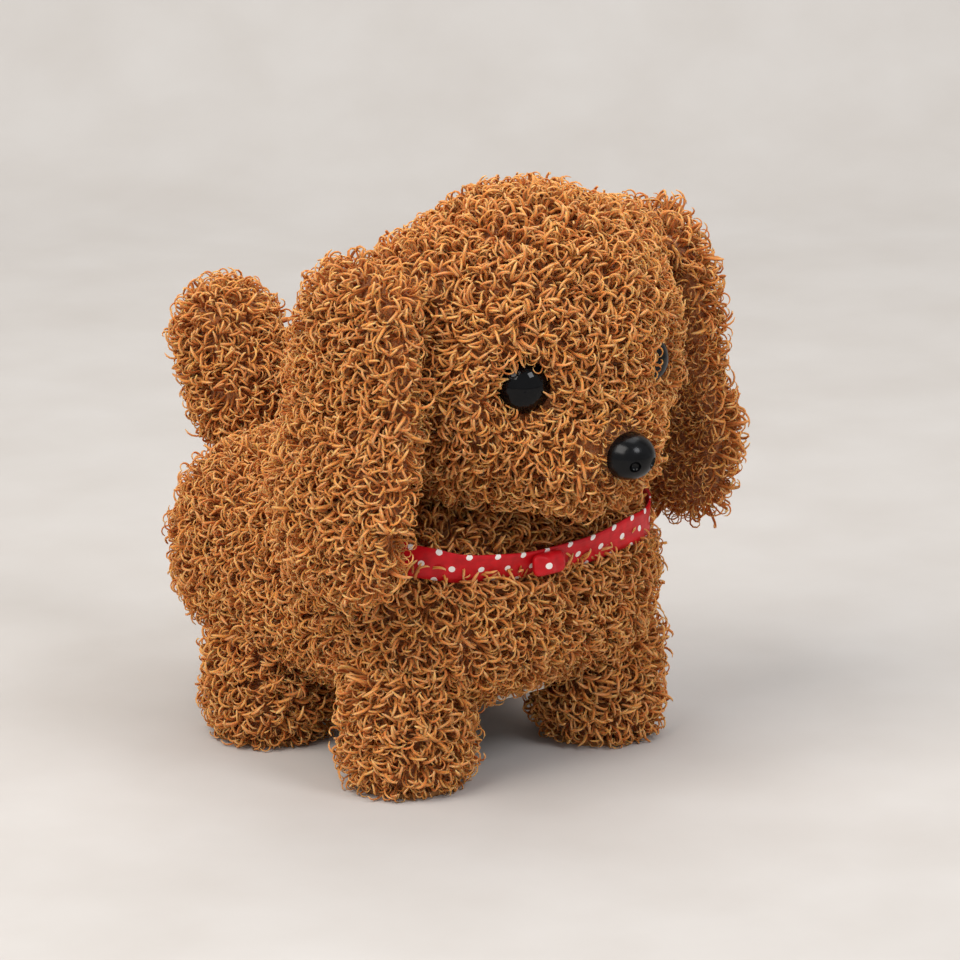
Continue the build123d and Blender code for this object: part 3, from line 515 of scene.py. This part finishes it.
def eye_axes():
    """Each eye's middle on its back face, and the way it looks."""
    found = []
    for name, side in SIDES.items():
        toe = math.radians(35)
        look = Vector((side * math.sin(toe), -math.cos(toe), 0))
        across = look.cross((0, 0, 1))
        spots = [vert.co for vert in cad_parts[f"eye_{name}"].data.vertices]
        wide = [spot.dot(across) for spot in spots]
        low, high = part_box(f"eye_{name}")
        front = max(spot.dot(look) for spot in spots)
        flat = across * (max(wide) + min(wide)) / 2 + look * (front - EYE_DOME)
        found.append((flat + Vector((0, 0, (low.z + high.z) / 2)), look))
    return found


def from_axis(place, point, look):
    """How far a place is from the line through point along look, and how far along it."""
    along = (place - point).dot(look)
    return (place - point - look * along).length, along


def dimple(skin, point, look, radius):
    """Presses a skin in behind an eye, so that the whole dome stands clear of it."""
    for vert in skin.data.vertices:
        away, along = from_axis(vert.co, point, look)
        if along > -8 * MM and away < radius + 6 * MM:
            down = 1 - ease(away, radius, radius + 6 * MM)
            vert.co -= look * (max(0, along + 0.8 * MM) * down)


class PUPPY_OT_head(bpy.types.Operator):
    """Stuffed head and muzzle, with its curls thinned round the eyes and nose"""
    bl_idname = "puppy.head"
    bl_label = "Head"

    def execute(self, context):
        pile = context.scene.puppy_pile
        low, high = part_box("head_plush")
        halves = Vector((high.x, SKULL_DEPTH, SKULL_HEIGHT))
        centre = Vector((0, high.y - halves.y, high.z - halves.z))
        nose = middle("nose")[0]
        muzzle = Vector((0, low.y + 23.0 * MM, nose.z + 1 * MM))
        inset = Vector((1, 1, 1)) * pile.skin_depth
        bm = bmesh.new()
        ball(bm, centre, halves - inset)
        ball(bm, muzzle, Vector((25, 23.5, 21)) * MM - inset)
        for side in SIDES.values():
            seam = centre + Vector((side * 32, 4, 23)) * MM
            ball(bm, seam, Vector((18, 21, 14.5)) * MM - inset)
        skin = remeshed(mesh_object("head_skin", bm), 2.4, 8)
        lumpy(skin, 1.2, 26, 3)
        eyes = eye_axes()
        for eye, look in eyes:
            dimple(skin, eye, look, EYE_POCKET)
        tip = Vector((0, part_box("nose")[0].y + 5 * MM, nose.z))

        def pile_rule(place, normal):
            keep = 1.0
            for eye, look in eyes:
                away, along = from_axis(place, eye, look)
                if along > -6 * MM:
                    keep *= ease(away, 6.8 * MM, 8.0 * MM)
            keep *= ease((place - tip).length, 8.0 * MM, 9.5 * MM)
            under = place.z < low.z + 9 * MM
            return 0.0 if under and (place.xy - centre.xy).length < 24 * MM else keep

        def trim_rule(place, normal):
            short = 1.0
            for eye, look in eyes:
                away, along = from_axis(place, eye, look)
                short = min(short, 0.7 + 0.3 * ease(away, 8 * MM, 14 * MM))
            short = min(short, 0.5 + 0.5 * ease((place - tip).length, 8 * MM, 18 * MM))
            return short

        set_attribute(skin, "pile", pile_rule)
        set_attribute(skin, "trim", trim_rule)
        material = plush_material(pile)
        cuts = {
            "head_pile_right": [(centre, (1, 0, 0)), (centre, (0, 1, 0))],
            "head_pile_left": [(centre, (-1, 0, 0)), (centre, (0, 1, 0))],
            "head_pile_back_right": [(centre, (1, 0, 0)), (centre, (0, -1, 0))],
            "head_pile_back_left": [(centre, (-1, 0, 0)), (centre, (0, -1, 0))],
        }
        for number, (name, planes) in enumerate(cuts.items()):
            grown = grow_pile(skin, name, pile, material, 10 + number, planes)
            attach(grown, "head")
        dress(skin, "head", ["head_plush", "head_stuffing"], pile)
        return {"FINISHED"}


class PUPPY_OT_body(bpy.types.Operator):
    """Stuffed body round the gear case, bare of curls at the battery door"""
    bl_idname = "puppy.body"
    bl_label = "Body"

    def execute(self, context):
        pile = context.scene.puppy_pile
        low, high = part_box("body_plush")
        centre, halves = (low + high) / 2, (high - low) / 2
        depth = pile.skin_depth
        bm = bmesh.new()
        rounded_block(bm, centre, halves - Vector((depth,) * 3), 26 * MM)
        skin = remeshed(mesh_object("body_skin", bm), 3.0, 10)
        lumpy(skin, 1.6, 30, 7)
        door_low, door_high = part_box("battery_door")
        switch_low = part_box("switch_housing")[0]
        legs = [middle(f"foot_sole_{end}_{name}")[0] for end in ENDS for name in SIDES]
        edge = 1.5 * MM

        tilt = context.scene.puppy_ribbon.tilt
        across = Vector((0, -math.sin(tilt), math.cos(tilt)))
        ring = middle("collar_ribbon")[0]
        knot = middle("ribbon_knot")[0]

        def pile_rule(place, normal):
            if abs((place - ring).dot(across)) < 3.2 * MM and abs(normal.dot(across)) < 0.55:
                at_front = abs(place.x - knot.x) < 20 * MM and place.y < knot.y + 12 * MM
                return 0.1 if at_front else 0.6
            in_door = (door_low.x - edge < place.x < door_high.x + edge
                       and switch_low.y - edge < place.y < door_high.y + edge)
            if in_door and place.z < door_high.z + 8 * MM:
                return 0.0
            for leg in legs:
                if place.z < 34 * MM and (place.xy - leg.xy).length < 11 * MM:
                    return 0.0
            return 1.0

        def trim_rule(place, normal):
            return 0.72 if normal.z < -0.6 else 1.0

        set_attribute(skin, "pile", pile_rule)
        set_attribute(skin, "trim", trim_rule)
        material = plush_material(pile)
        front = Vector((0, low.y + 0.27 * (high.y - low.y), 0))
        rear = Vector((0, low.y + 0.78 * (high.y - low.y), 0))
        between = [(front, (0, -1, 0)), (rear, (0, 1, 0))]
        planes = {
            "chest": [(front, (0, 1, 0))],
            "flank_right": [(centre, (1, 0, 0)), *between],
            "flank_left": [(centre, (-1, 0, 0)), *between],
            "rump": [(rear, (0, -1, 0))],
        }
        for number, (name, cuts) in enumerate(planes.items()):
            grown = grow_pile(skin, f"body_pile_{name}", pile, material, 30 + number, cuts)
            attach(grown, "torso")
        dress(skin, "torso", ["body_plush", "rump_stuffing"], pile)
        return {"FINISHED"}


class PUPPY_OT_ears(bpy.types.Operator):
    """Two drop ears, curly on both faces"""
    bl_idname = "puppy.ears"
    bl_label = "Ears"

    def execute(self, context):
        pile = context.scene.puppy_pile
        material = plush_material(pile)
        for name, side in SIDES.items():
            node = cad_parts[f"ear_{name}"]
            bm = bmesh.new()
            bm.from_mesh(node.data)
            bmesh.ops.remove_doubles(bm, verts=bm.verts, dist=0.02 * MM)
            skin = remeshed(mesh_object(f"ear_skin_{name}", bm), 1.8, 6)
            thin = skin.modifiers.new("thin", "DISPLACE")
            thin.strength = -3.6 * MM
            thin.mid_level = 0
            applied(skin)
            bm = bmesh.new()
            bm.from_mesh(skin.data)
            low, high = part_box(f"ear_{name}")
            wide = (high.y - low.y) / 2
            tip = Vector((side * 62.5 * MM, (low.y + high.y) / 2, low.z + 27 * MM))
            upper = Vector((side * 56 * MM, tip.y, low.z + 60 * MM))
            ball(bm, tip, (6.5 * MM, wide - 4 * MM, 23 * MM))
            ball(bm, upper, (7.5 * MM, wide - 6 * MM, 34 * MM))
            bm.to_mesh(skin.data)
            bm.free()
            remeshed(skin, 1.8, 10)
            lumpy(skin, 1.0, 22, 40 + side)
            low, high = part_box(f"ear_{name}")
            set_attribute(skin, "pile", lambda place, normal: 1.0)
            set_attribute(
                skin, "trim",
                lambda place, normal: 0.6 if normal.x * side < -0.4 else 1.0)
            half = Vector((0, 0, (low.z + high.z) / 2))
            for number, (part, normal) in enumerate((("upper", (0, 0, -1)), ("lower", (0, 0, 1)))):
                grown = grow_pile(skin, f"ear_pile_{name}_{part}", pile, material,
                                  50 + 2 * number + side, [(half, normal)])
                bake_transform(grown)
            skin.data.materials.clear()
            skin.data.materials.append(backing_material(pile))
            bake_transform(skin)
            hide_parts(f"ear_{name}")
        return {"FINISHED"}


class PUPPY_OT_legs(bpy.types.Operator):
    """Four stubby legs with curly pile and nylon soles"""
    bl_idname = "puppy.legs"
    bl_label = "Legs"

    def execute(self, context):
        pile = context.scene.puppy_pile
        material = plush_material(pile)
        for number, end in enumerate(ENDS):
            for name, side in SIDES.items():
                node = f"leg_plush_{end}_{name}"
                low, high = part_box(node)
                centre = (low + high) / 2
                sole_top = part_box(f"foot_sole_{end}_{name}")[1].z
                radius = (high.x - low.x) / 2 - pile.skin_depth + 1.2 * MM
                bottom, top = sole_top + 0.4 * MM, high.z + 2 * MM
                bm = bmesh.new()
                shape = Matrix.Translation((centre.x, centre.y, (bottom + top) / 2))
                bmesh.ops.create_cone(bm, cap_ends=True, segments=40, radius1=radius,
                                      radius2=radius * 0.97, depth=top - bottom, matrix=shape)
                bmesh.ops.bevel(bm, geom=[e for e in bm.edges if abs(
                    e.verts[0].co.z - e.verts[1].co.z) < 1e-6], offset=3 * MM, segments=4,
                    profile=0.5, affect="EDGES", material=-1)
                skin = remeshed(mesh_object(f"leg_skin_{end}_{name}", bm), 1.8, 4)
                lumpy(skin, 0.8, 14, 60 + number * 3 + side)
                floor = sole_top + 1.5 * MM

                def pile_rule(place, normal):
                    if normal.z < -0.55 and (place.xy - centre.xy).length < radius - 2.5 * MM:
                        return 0.0
                    return 1.0

                def trim_rule(place, normal):
                    return 0.8 + 0.25 * ease(place.z, floor, floor + 7 * MM)

                set_attribute(skin, "pile", pile_rule)
                set_attribute(skin, "trim", trim_rule)
                grown = grow_pile(skin, f"leg_pile_{end}_{name}", pile, material,
                                  70 + 4 * number + side)
                lift_off_floor(grown)
                for piece in (grown, skin):
                    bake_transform(piece)
                skin.data.materials.clear()
                skin.data.materials.append(backing_material(pile))
                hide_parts(node)
                finish_node(f"foot_sole_{end}_{name}", sole_material())
        return {"FINISHED"}


def lift_off_floor(piece):
    """Flattens locks that would reach below the floor on to it."""
    for vert in piece.data.vertices:
        if vert.co.z < 0.3 * MM:
            vert.co.z = 0.3 * MM + 0.02 * (vert.co.z - 0.3 * MM)


def sole_material():
    """Brushed nylon sole: short dull nap that looks even, a little worn in patches."""
    return bpy.data.materials.get("brushed_nylon_sole") or mottled(
        "brushed_nylon_sole", "#a5703c", "#8a5a2c", 0.85, 2.0, bump=0.8)


class PUPPY_OT_tail(bpy.types.Operator):
    """Upright tail, thick and blunt, with curly pile"""
    bl_idname = "puppy.tail"
    bl_label = "Tail"

    def execute(self, context):
        pile = context.scene.puppy_pile
        low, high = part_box("tail_plush")
        radius = (high.x - low.x) / 2
        root = Vector((0, low.y + radius, low.z + radius))
        tip = Vector((0, high.y - radius, high.z - radius))
        inner = radius - pile.skin_depth
        bm = bmesh.new()
        for share in (0, 0.2, 0.4, 0.6, 0.8, 1.0):
            wide = inner * (1.0 + 0.1 * share)
            ball(bm, root.lerp(tip, share), (wide, wide, inner), rings=16)
        skin = remeshed(mesh_object("tail_skin", bm), 2.0, 6)
        lumpy(skin, 1.0, 16, 90)
        set_attribute(skin, "pile", lambda place, normal: 1.0)
        set_attribute(skin, "trim", lambda place, normal: 1.0)
        grown = grow_pile(skin, "tail_pile", pile, plush_material(pile), 80)
        for piece in (grown, skin):
            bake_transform(piece)
        skin.data.materials.clear()
        skin.data.materials.append(backing_material(pile))
        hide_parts("tail_plush")
        return {"FINISHED"}


# ---- Ribbon and face -------------------------------------------------------------------
def satin_material(ribbon):
    """Woven polyester satin: a soft stretched gloss along the ribbon, with printed dots."""
    material, tree, shader = new_material("polyester_satin_ribbon")
    uv = add_node(tree, "ShaderNodeUVMap", {"uv_map": "ribbon_run"}).outputs["UV"]
    step = ribbon.dot_spacing
    turned = add_node(tree, "ShaderNodeMapping", Vector=uv, Rotation=(0, 0, math.radians(45)))
    cells = add_node(tree, "ShaderNodeTexVoronoi", Vector=turned.outputs["Vector"],
                     Scale=1 / step, Randomness=0.0)
    inside = add_node(tree, "ShaderNodeMath", {"operation": "LESS_THAN"})
    tree.links.new(cells.outputs["Distance"], inside.inputs[0])
    inside.inputs[1].default_value = ribbon.dot / step
    patches = add_node(tree, "ShaderNodeTexNoise", Vector=uv, Scale=1 / (3 * MM), Detail=2.0)
    ground = add_node(tree, "ShaderNodeValToRGB", Fac=patches.outputs["Fac"])
    ramp_colours(ground, [(0.3, "#b40e18"), (0.7, ribbon.colour)])
    print_mix = add_node(tree, "ShaderNodeMix", {"data_type": "RGBA"},
                         Factor=inside.outputs["Value"])
    tree.links.new(ground.outputs["Color"], print_mix.inputs[6])
    print_mix.inputs[7].default_value = rgba(ribbon.dot_colour)
    tree.links.new(print_mix.outputs[2], shader.inputs["Base Color"])
    weave = add_node(tree, "ShaderNodeTexWave", {"bands_direction": "Y"}, Vector=uv,
                     Scale=1 / (0.5 * MM) / 6.28)
    raised = add_node(tree, "ShaderNodeBump", Height=weave.outputs["Fac"], Strength=0.25,
                      Distance=0.05 * MM)
    tree.links.new(raised.outputs["Normal"], shader.inputs["Normal"])
    shader.inputs["Roughness"].default_value = 0.42
    shader.inputs["Specular IOR Level"].default_value = 0.25
    return material


def band(name, path, ups, ribbon, closed=False):
    """A ribbon that follows a path of points, its width along ups, as one solid band."""
    bm = bmesh.new()
    layer = bm.loops.layers.uv.new("ribbon_run")
    width = ribbon.width
    rows = 6
    first = [bm.verts.new(path[0] + ups[0] * width * (k / rows - 0.5)) for k in range(rows + 1)]
    edges = [bm.edges.new(pair) for pair in zip(first, first[1:])]
    runs = [0.0]
    columns = {vert: (0.0, width * k / rows) for k, vert in enumerate(first)}
    total = [*path, path[0]] if closed else list(path)
    for here, up in zip(total[1:], [*ups[1:], ups[0]] if closed else ups[1:]):
        runs.append(runs[-1] + (here - total[len(runs) - 1]).length)
        grown = bmesh.ops.extrude_edge_only(bm, edges=edges)["geom"]
        verts = [g for g in grown if isinstance(g, bmesh.types.BMVert)]
        edges = [g for g in grown if isinstance(g, bmesh.types.BMEdge)]
        before = {v: next(o for e in v.link_edges for o in [e.other_vert(v)]
                          if o in columns and o not in verts) for v in verts}
        for vert in verts:
            across = columns[before[vert]][1]
            vert.co = here + up * (across - width / 2)
            columns[vert] = (runs[-1], across)
    for one in bm.faces:
        for loop in one.loops:
            loop[layer].uv = columns[loop.vert]
        one.smooth = True
    if closed:
        bmesh.ops.remove_doubles(bm, verts=bm.verts, dist=0.01 * MM)
    bmesh.ops.recalc_face_normals(bm, faces=bm.faces)
    piece = mesh_object(name, bm)
    cloth = piece.modifiers.new("cloth", "SOLIDIFY")
    cloth.thickness = ribbon.thickness
    cloth.offset = 0
    applied(piece)
    return piece, runs[-1]


class PUPPY_OT_ribbon(bpy.types.Operator):
    """Spotted satin collar ribbon and its folded knot"""
    bl_idname = "puppy.ribbon"
    bl_label = "Ribbon"

    def execute(self, context):
        ribbon = context.scene.puppy_ribbon
        low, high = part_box("collar_ribbon")
        centre = (low + high) / 2
        tilt = ribbon.tilt
        half_x = (high.x - low.x) / 2 - 2.6 * MM
        half_y = ((high.y - low.y) / 2 - 4.5 * MM * math.sin(tilt)) / math.cos(tilt) - 1.4 * MM
        back = Vector((0, math.cos(tilt), math.sin(tilt)))
        over = Vector((0, -math.sin(tilt), math.cos(tilt)))
        path, ups = [], []
        steps = 120
        for step in range(steps):
            angle = 2 * math.pi * step / steps
            c, s = math.cos(angle), math.sin(angle)
            power = 0.62
            x = half_x * math.copysign(abs(c) ** power, c)
            y = half_y * math.copysign(abs(s) ** power, s)
            wave = 0.7 * MM * math.sin(5 * angle + 0.6) + 0.4 * MM * math.sin(9 * angle)
            path.append(centre + Vector((x, 0, 0)) + back * y + over * wave)
            outward = Vector((x / half_x, 0, 0)) + back * (y / half_y)
            lean = 0.22 * math.sin(3 * angle + 1.0)
            ups.append((over + outward.normalized() * lean).normalized())
        collar, run = band("ribbon_collar", path, ups, ribbon, closed=True)
        material = satin_material(ribbon)
        collar.data.materials.append(material)
        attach(collar, "torso")
        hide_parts("collar_ribbon")
        knot = self.knot(ribbon)
        knot.data.materials.append(material)
        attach(knot, "torso")
        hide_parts("ribbon_knot")
        return {"FINISHED"}

    def knot(self, ribbon):
        """A short wrap of the same ribbon pinched round the collar."""
        place, halves = middle("ribbon_knot")
        bm = bmesh.new()
        ball(bm, place, halves - Vector((0.2, 0.2, 0.2)) * MM)
        for vert in bm.verts:
            away = (vert.co.x - place.x) / halves.x
            rise = (vert.co.z - place.z) / halves.z
            pinch = 1 - 0.34 * (1 - away ** 2)
            vert.co.z = place.z + halves.z * pinch * math.copysign(abs(rise) ** 0.7, rise)
            vert.co.y += 0.45 * MM * math.sin(7 * away + 1.5 * rise) * (1 - abs(rise))
        layer = bm.loops.layers.uv.new("ribbon_run")
        for one in bm.faces:
            one.smooth = True
            for loop in one.loops:
                loop[layer].uv = (loop.vert.co.x + 0.0012, loop.vert.co.z + 0.0032)
        bmesh.ops.recalc_face_normals(bm, faces=bm.faces)
        return mesh_object("ribbon_knot_wrap", bm)


class PUPPY_OT_face(bpy.types.Operator):
    """Glossy eyes and nose"""
    bl_idname = "puppy.face"
    bl_label = "Face"

    def execute(self, context):
        # polished acrylic: black and mirror-smooth, so lamps show sharply
        glass = mottled("polished_black_acrylic", "#08080a", "#040405", 0.05, 6.0, spread=0.01)
        glass.node_tree.nodes["Principled BSDF"].inputs["Specular IOR Level"].default_value = 0.18
        # moulded PVC: black, with a faint moulded orange-peel that softens its highlights
        rubber = mottled("moulded_black_pvc", "#09090b", "#050506", 0.2, 1.5, bump=0.35,
                         spread=0.04)
        rubber.node_tree.nodes["Principled BSDF"].inputs["Specular IOR Level"].default_value = 0.2
        for name in SIDES:
            finish_node(f"eye_{name}", glass)
        finish_node("nose", rubber)
        return {"FINISHED"}


# ---- Inner pieces ----------------------------------------------------------------------
class PUPPY_OT_inside(bpy.types.Operator):
    """Finishes of the case, drive, batteries and electronics"""
    bl_idname = "puppy.inside"
    bl_label = "Inside"

    def execute(self, context):
        # injection-moulded ABS: even off-white with a faint satin texture
        abs_white = mottled("moulded_abs_white", "#e6e2d6", "#dcd7ca", 0.45, 12, bump=0.3)
        # the same resin in charcoal, on the pieces that the hand meets
        abs_dark = mottled("moulded_abs_charcoal", "#2b2b2e", "#222225", 0.4, 10, bump=0.4)
        # acetal gears: waxy, smooth and slightly translucent looking white
        acetal = mottled("moulded_acetal", "#f0eee4", "#e6e3d8", 0.32, 6)
        # polypropylene washers and levers: duller and faintly yellow
        poly = mottled("moulded_polypropylene", "#e2dccb", "#d6cfbb", 0.5, 8)
        # zinc-plated drawn steel: grey with soft bright and dull patches
        steel = mottled("zinc_plated_steel", "#c6c8cc", "#a9acb1", 0.34, 3, metallic=1.0)
        # turned brass: warm yellow with a fine lathe haze
        brass = mottled("turned_brass", "#d8b55e", "#c29a45", 0.3, 2, metallic=1.0)
        # enamelled copper windings
        copper = mottled("enamelled_copper", "#b5693a", "#8f4b25", 0.3, 1, metallic=1.0, coat=0.5)
        # glass-epoxy board under green solder mask: glossy with a weave's unevenness
        board = mottled("green_solder_mask", "#1f6b3a", "#16532c", 0.28, 1.2, coat=0.4)
        # black epoxy packages of the components
        epoxy = mottled("black_epoxy", "#1a1a1c", "#101012", 0.55, 1.5, bump=0.3)
        # pressed paper cone: dull black with fibre blotches
        paper = mottled("pressed_paper", "#26241f", "#171613", 0.85, 0.8, bump=0.8)
        # PVC wire insulation: smooth red with a soft gloss
        pvc = mottled("pvc_insulation", "#b3201c", "#95150f", 0.35, 4)
        # shrink-wrapped cell jacket: glossy dark green film
        jacket = mottled("shrink_film_jacket", "#2f5f3c", "#244c30", 0.22, 8, coat=0.6)
        finishes = {
            abs_white: ("case_right", "case_left", "battery_box", "speaker_frame", "neck_post",
                        "head_yoke", "motor_end_cap"),
            abs_dark: ("battery_door", "switch_housing", "switch_knob"),
            acetal: ("motor_pinion", "first_gear", "second_gear", "crank_gear", "crank_discs"),
            poly: ("face_washers", "link_rod_right", "link_rod_left", "tail_lever",
                   *[f"leg_core_{end}_{name}" for end in ENDS for name in SIDES]),
            steel: ("case_screws", "hip_pins", "gear_pins", "motor_can", "battery_contacts",
                    "tail_pin", "crank_axle", "nod_pin", "door_screw"),
            brass: ("axle_bushings",),
            copper: ("motor_armature",),
            board: ("circuit_board",),
            epoxy: ("board_components",),
            paper: ("speaker_cone",),
            pvc: ("wiring",),
            jacket: ("battery_cells",),
        }
        for material, nodes in finishes.items():
            for node in nodes:
                finish_node(node, material)
        return {"FINISHED"}


# ---- Stage -----------------------------------------------------------------------------
class PUPPY_OT_stage(bpy.types.Operator):
    """Pale table and wall, soft studio light and the camera"""
    bl_idname = "puppy.stage"
    bl_label = "Stage"

    def execute(self, context):
        stage = context.scene.puppy_stage
        scene = context.scene
        # washed cotton table cover: near white, dull, with soft shallow creases
        material, tree, shader = new_material("washed_cotton_cover")
        place = add_node(tree, "ShaderNodeTexCoord").outputs["Object"]
        creases = add_node(tree, "ShaderNodeTexNoise", Vector=place, Scale=18.0, Detail=5.0)
        ramp = add_node(tree, "ShaderNodeValToRGB", Fac=creases.outputs["Fac"])
        ramp_colours(ramp, [(0.3, "#bfbab5"), (0.7, "#c6c2be")])
        raised = add_node(tree, "ShaderNodeBump", Height=creases.outputs["Fac"], Strength=0.25,
                          Distance=2 * MM)
        tree.links.new(ramp.outputs["Color"], shader.inputs["Base Color"])
        tree.links.new(raised.outputs["Normal"], shader.inputs["Normal"])
        shader.inputs["Roughness"].default_value = 0.9
        turn = stage.azimuth
        away = Vector((-math.sin(turn), math.cos(turn), 0))
        bm = bmesh.new()
        sheet = bmesh.ops.create_grid(bm, x_segments=1, y_segments=1, size=3.0)["verts"]
        bmesh.ops.rotate(bm, verts=sheet, matrix=Matrix.Rotation(turn, 3, "Z"))
        far = [e for e in bm.edges
               if all(v.co.dot(away) > 2.9 for v in e.verts)]
        bmesh.ops.translate(bm, vec=-away * 2.1, verts=list({v for e in far for v in e.verts}))
        raised_wall = bmesh.ops.extrude_edge_only(bm, edges=far)["geom"]
        bmesh.ops.translate(bm, vec=(0, 0, 3.0),
                            verts=[g for g in raised_wall if isinstance(g, bmesh.types.BMVert)])
        bmesh.ops.bevel(bm, geom=far, offset=0.25, segments=12, profile=0.5, affect="EDGES",
                        material=-1)
        for one in bm.faces:
            one.smooth = True
        floor = mesh_object("table_and_wall", bm)
        floor.data.materials.append(material)
        self.lights(scene, turn)
        self.camera(scene, stage)
        return {"FINISHED"}

    def lights(self, scene, turn):
        """A large soft key from the upper left of the view, a fill and a pale sky."""
        aim = Vector((0, -0.01, 0.08))
        for name, azimuth, elevation, distance, size, power, colour in (
            ("key", turn - math.radians(42), math.radians(50), 1.4, 0.9, 16, "#fffaf4"),
            ("window", turn + math.radians(48), math.radians(44), 1.5, 0.45, 6.5, "#f8faff"),
            ("top", turn + math.radians(165), math.radians(68), 1.4, 1.0, 7, "#ffffff"),
        ):
            lamp = bpy.data.lights.new(name, "AREA")
            lamp.size = size
            lamp.energy = power
            lamp.color = linear(colour)
            holder = bpy.data.objects.new(name, lamp)
            scene.collection.objects.link(holder)
            way = Vector((math.sin(azimuth) * math.cos(elevation),
                          -math.cos(azimuth) * math.cos(elevation), math.sin(elevation)))
            holder.location = aim + way * distance
            holder.rotation_euler = (-way).to_track_quat("-Z", "Y").to_euler()
        world = bpy.data.worlds.new("pale_room")
        world.use_nodes = True
        world.node_tree.nodes["Background"].inputs["Color"].default_value = rgba("#f2f4f6")
        world.node_tree.nodes["Background"].inputs["Strength"].default_value = 0.6
        scene.world = world
        scene.view_settings.view_transform = "Standard"

    def camera(self, scene, stage):
        """A long lens at the puppy's front right."""
        lens = bpy.data.cameras.new("camera")
        lens.sensor_width = 36
        lens.lens = 36 * stage.distance / stage.view_width
        holder = bpy.data.objects.new("camera", lens)
        scene.collection.objects.link(holder)
        back = Vector((math.sin(stage.azimuth) * math.cos(stage.elevation),
                       -math.cos(stage.azimuth) * math.cos(stage.elevation),
                       math.sin(stage.elevation)))
        feet = [middle(f"foot_sole_{end}_{name}")[0] for end in ENDS for name in SIDES]
        aim = sum(feet, Vector()) / len(feet) + Vector((3.8, -16.3, 79.2)) * MM
        holder.location = aim + back * stage.distance
        holder.rotation_euler = (-back).to_track_quat("-Z", "Y").to_euler()
        scene.camera = holder


# ---- Panel and run ---------------------------------------------------------------------
OPERATORS = (PUPPY_OT_body, PUPPY_OT_head, PUPPY_OT_ears, PUPPY_OT_legs, PUPPY_OT_tail,
             PUPPY_OT_ribbon, PUPPY_OT_face, PUPPY_OT_inside, PUPPY_OT_stage)


class PUPPY_PT_panel(bpy.types.Panel):
    """Lists the puppy's pieces and sizes"""
    bl_idname = "PUPPY_PT_panel"
    bl_label = "Walking plush puppy"
    bl_space_type = "VIEW_3D"
    bl_region_type = "UI"
    bl_category = "Puppy"

    def draw(self, context):
        for group in (context.scene.puppy_pile, context.scene.puppy_ribbon,
                      context.scene.puppy_stage):
            for name in group.__annotations__:
                self.layout.prop(group, name)
        for operator in OPERATORS:
            self.layout.operator(operator.bl_idname)


GROUPS = {"puppy_pile": PuppyPile, "puppy_ribbon": PuppyRibbon, "puppy_stage": PuppyStage}
CLASSES = (*GROUPS.values(), *OPERATORS, PUPPY_PT_panel)


def register():
    for one in CLASSES:
        bpy.utils.register_class(one)
    for name, group in GROUPS.items():
        setattr(bpy.types.Scene, name, bpy.props.PointerProperty(type=group))


def unregister():
    for name in GROUPS:
        delattr(bpy.types.Scene, name)
    for one in reversed(CLASSES):
        bpy.utils.unregister_class(one)


def main():
    """Makes every piece in order."""
    register()
    bpy.ops.puppy.body()
    bpy.ops.puppy.head()
    bpy.ops.puppy.ears()
    bpy.ops.puppy.legs()
    bpy.ops.puppy.tail()
    bpy.ops.puppy.ribbon()
    bpy.ops.puppy.face()
    bpy.ops.puppy.inside()
    bpy.ops.puppy.stage()


if __name__ == "__main__":
    main()
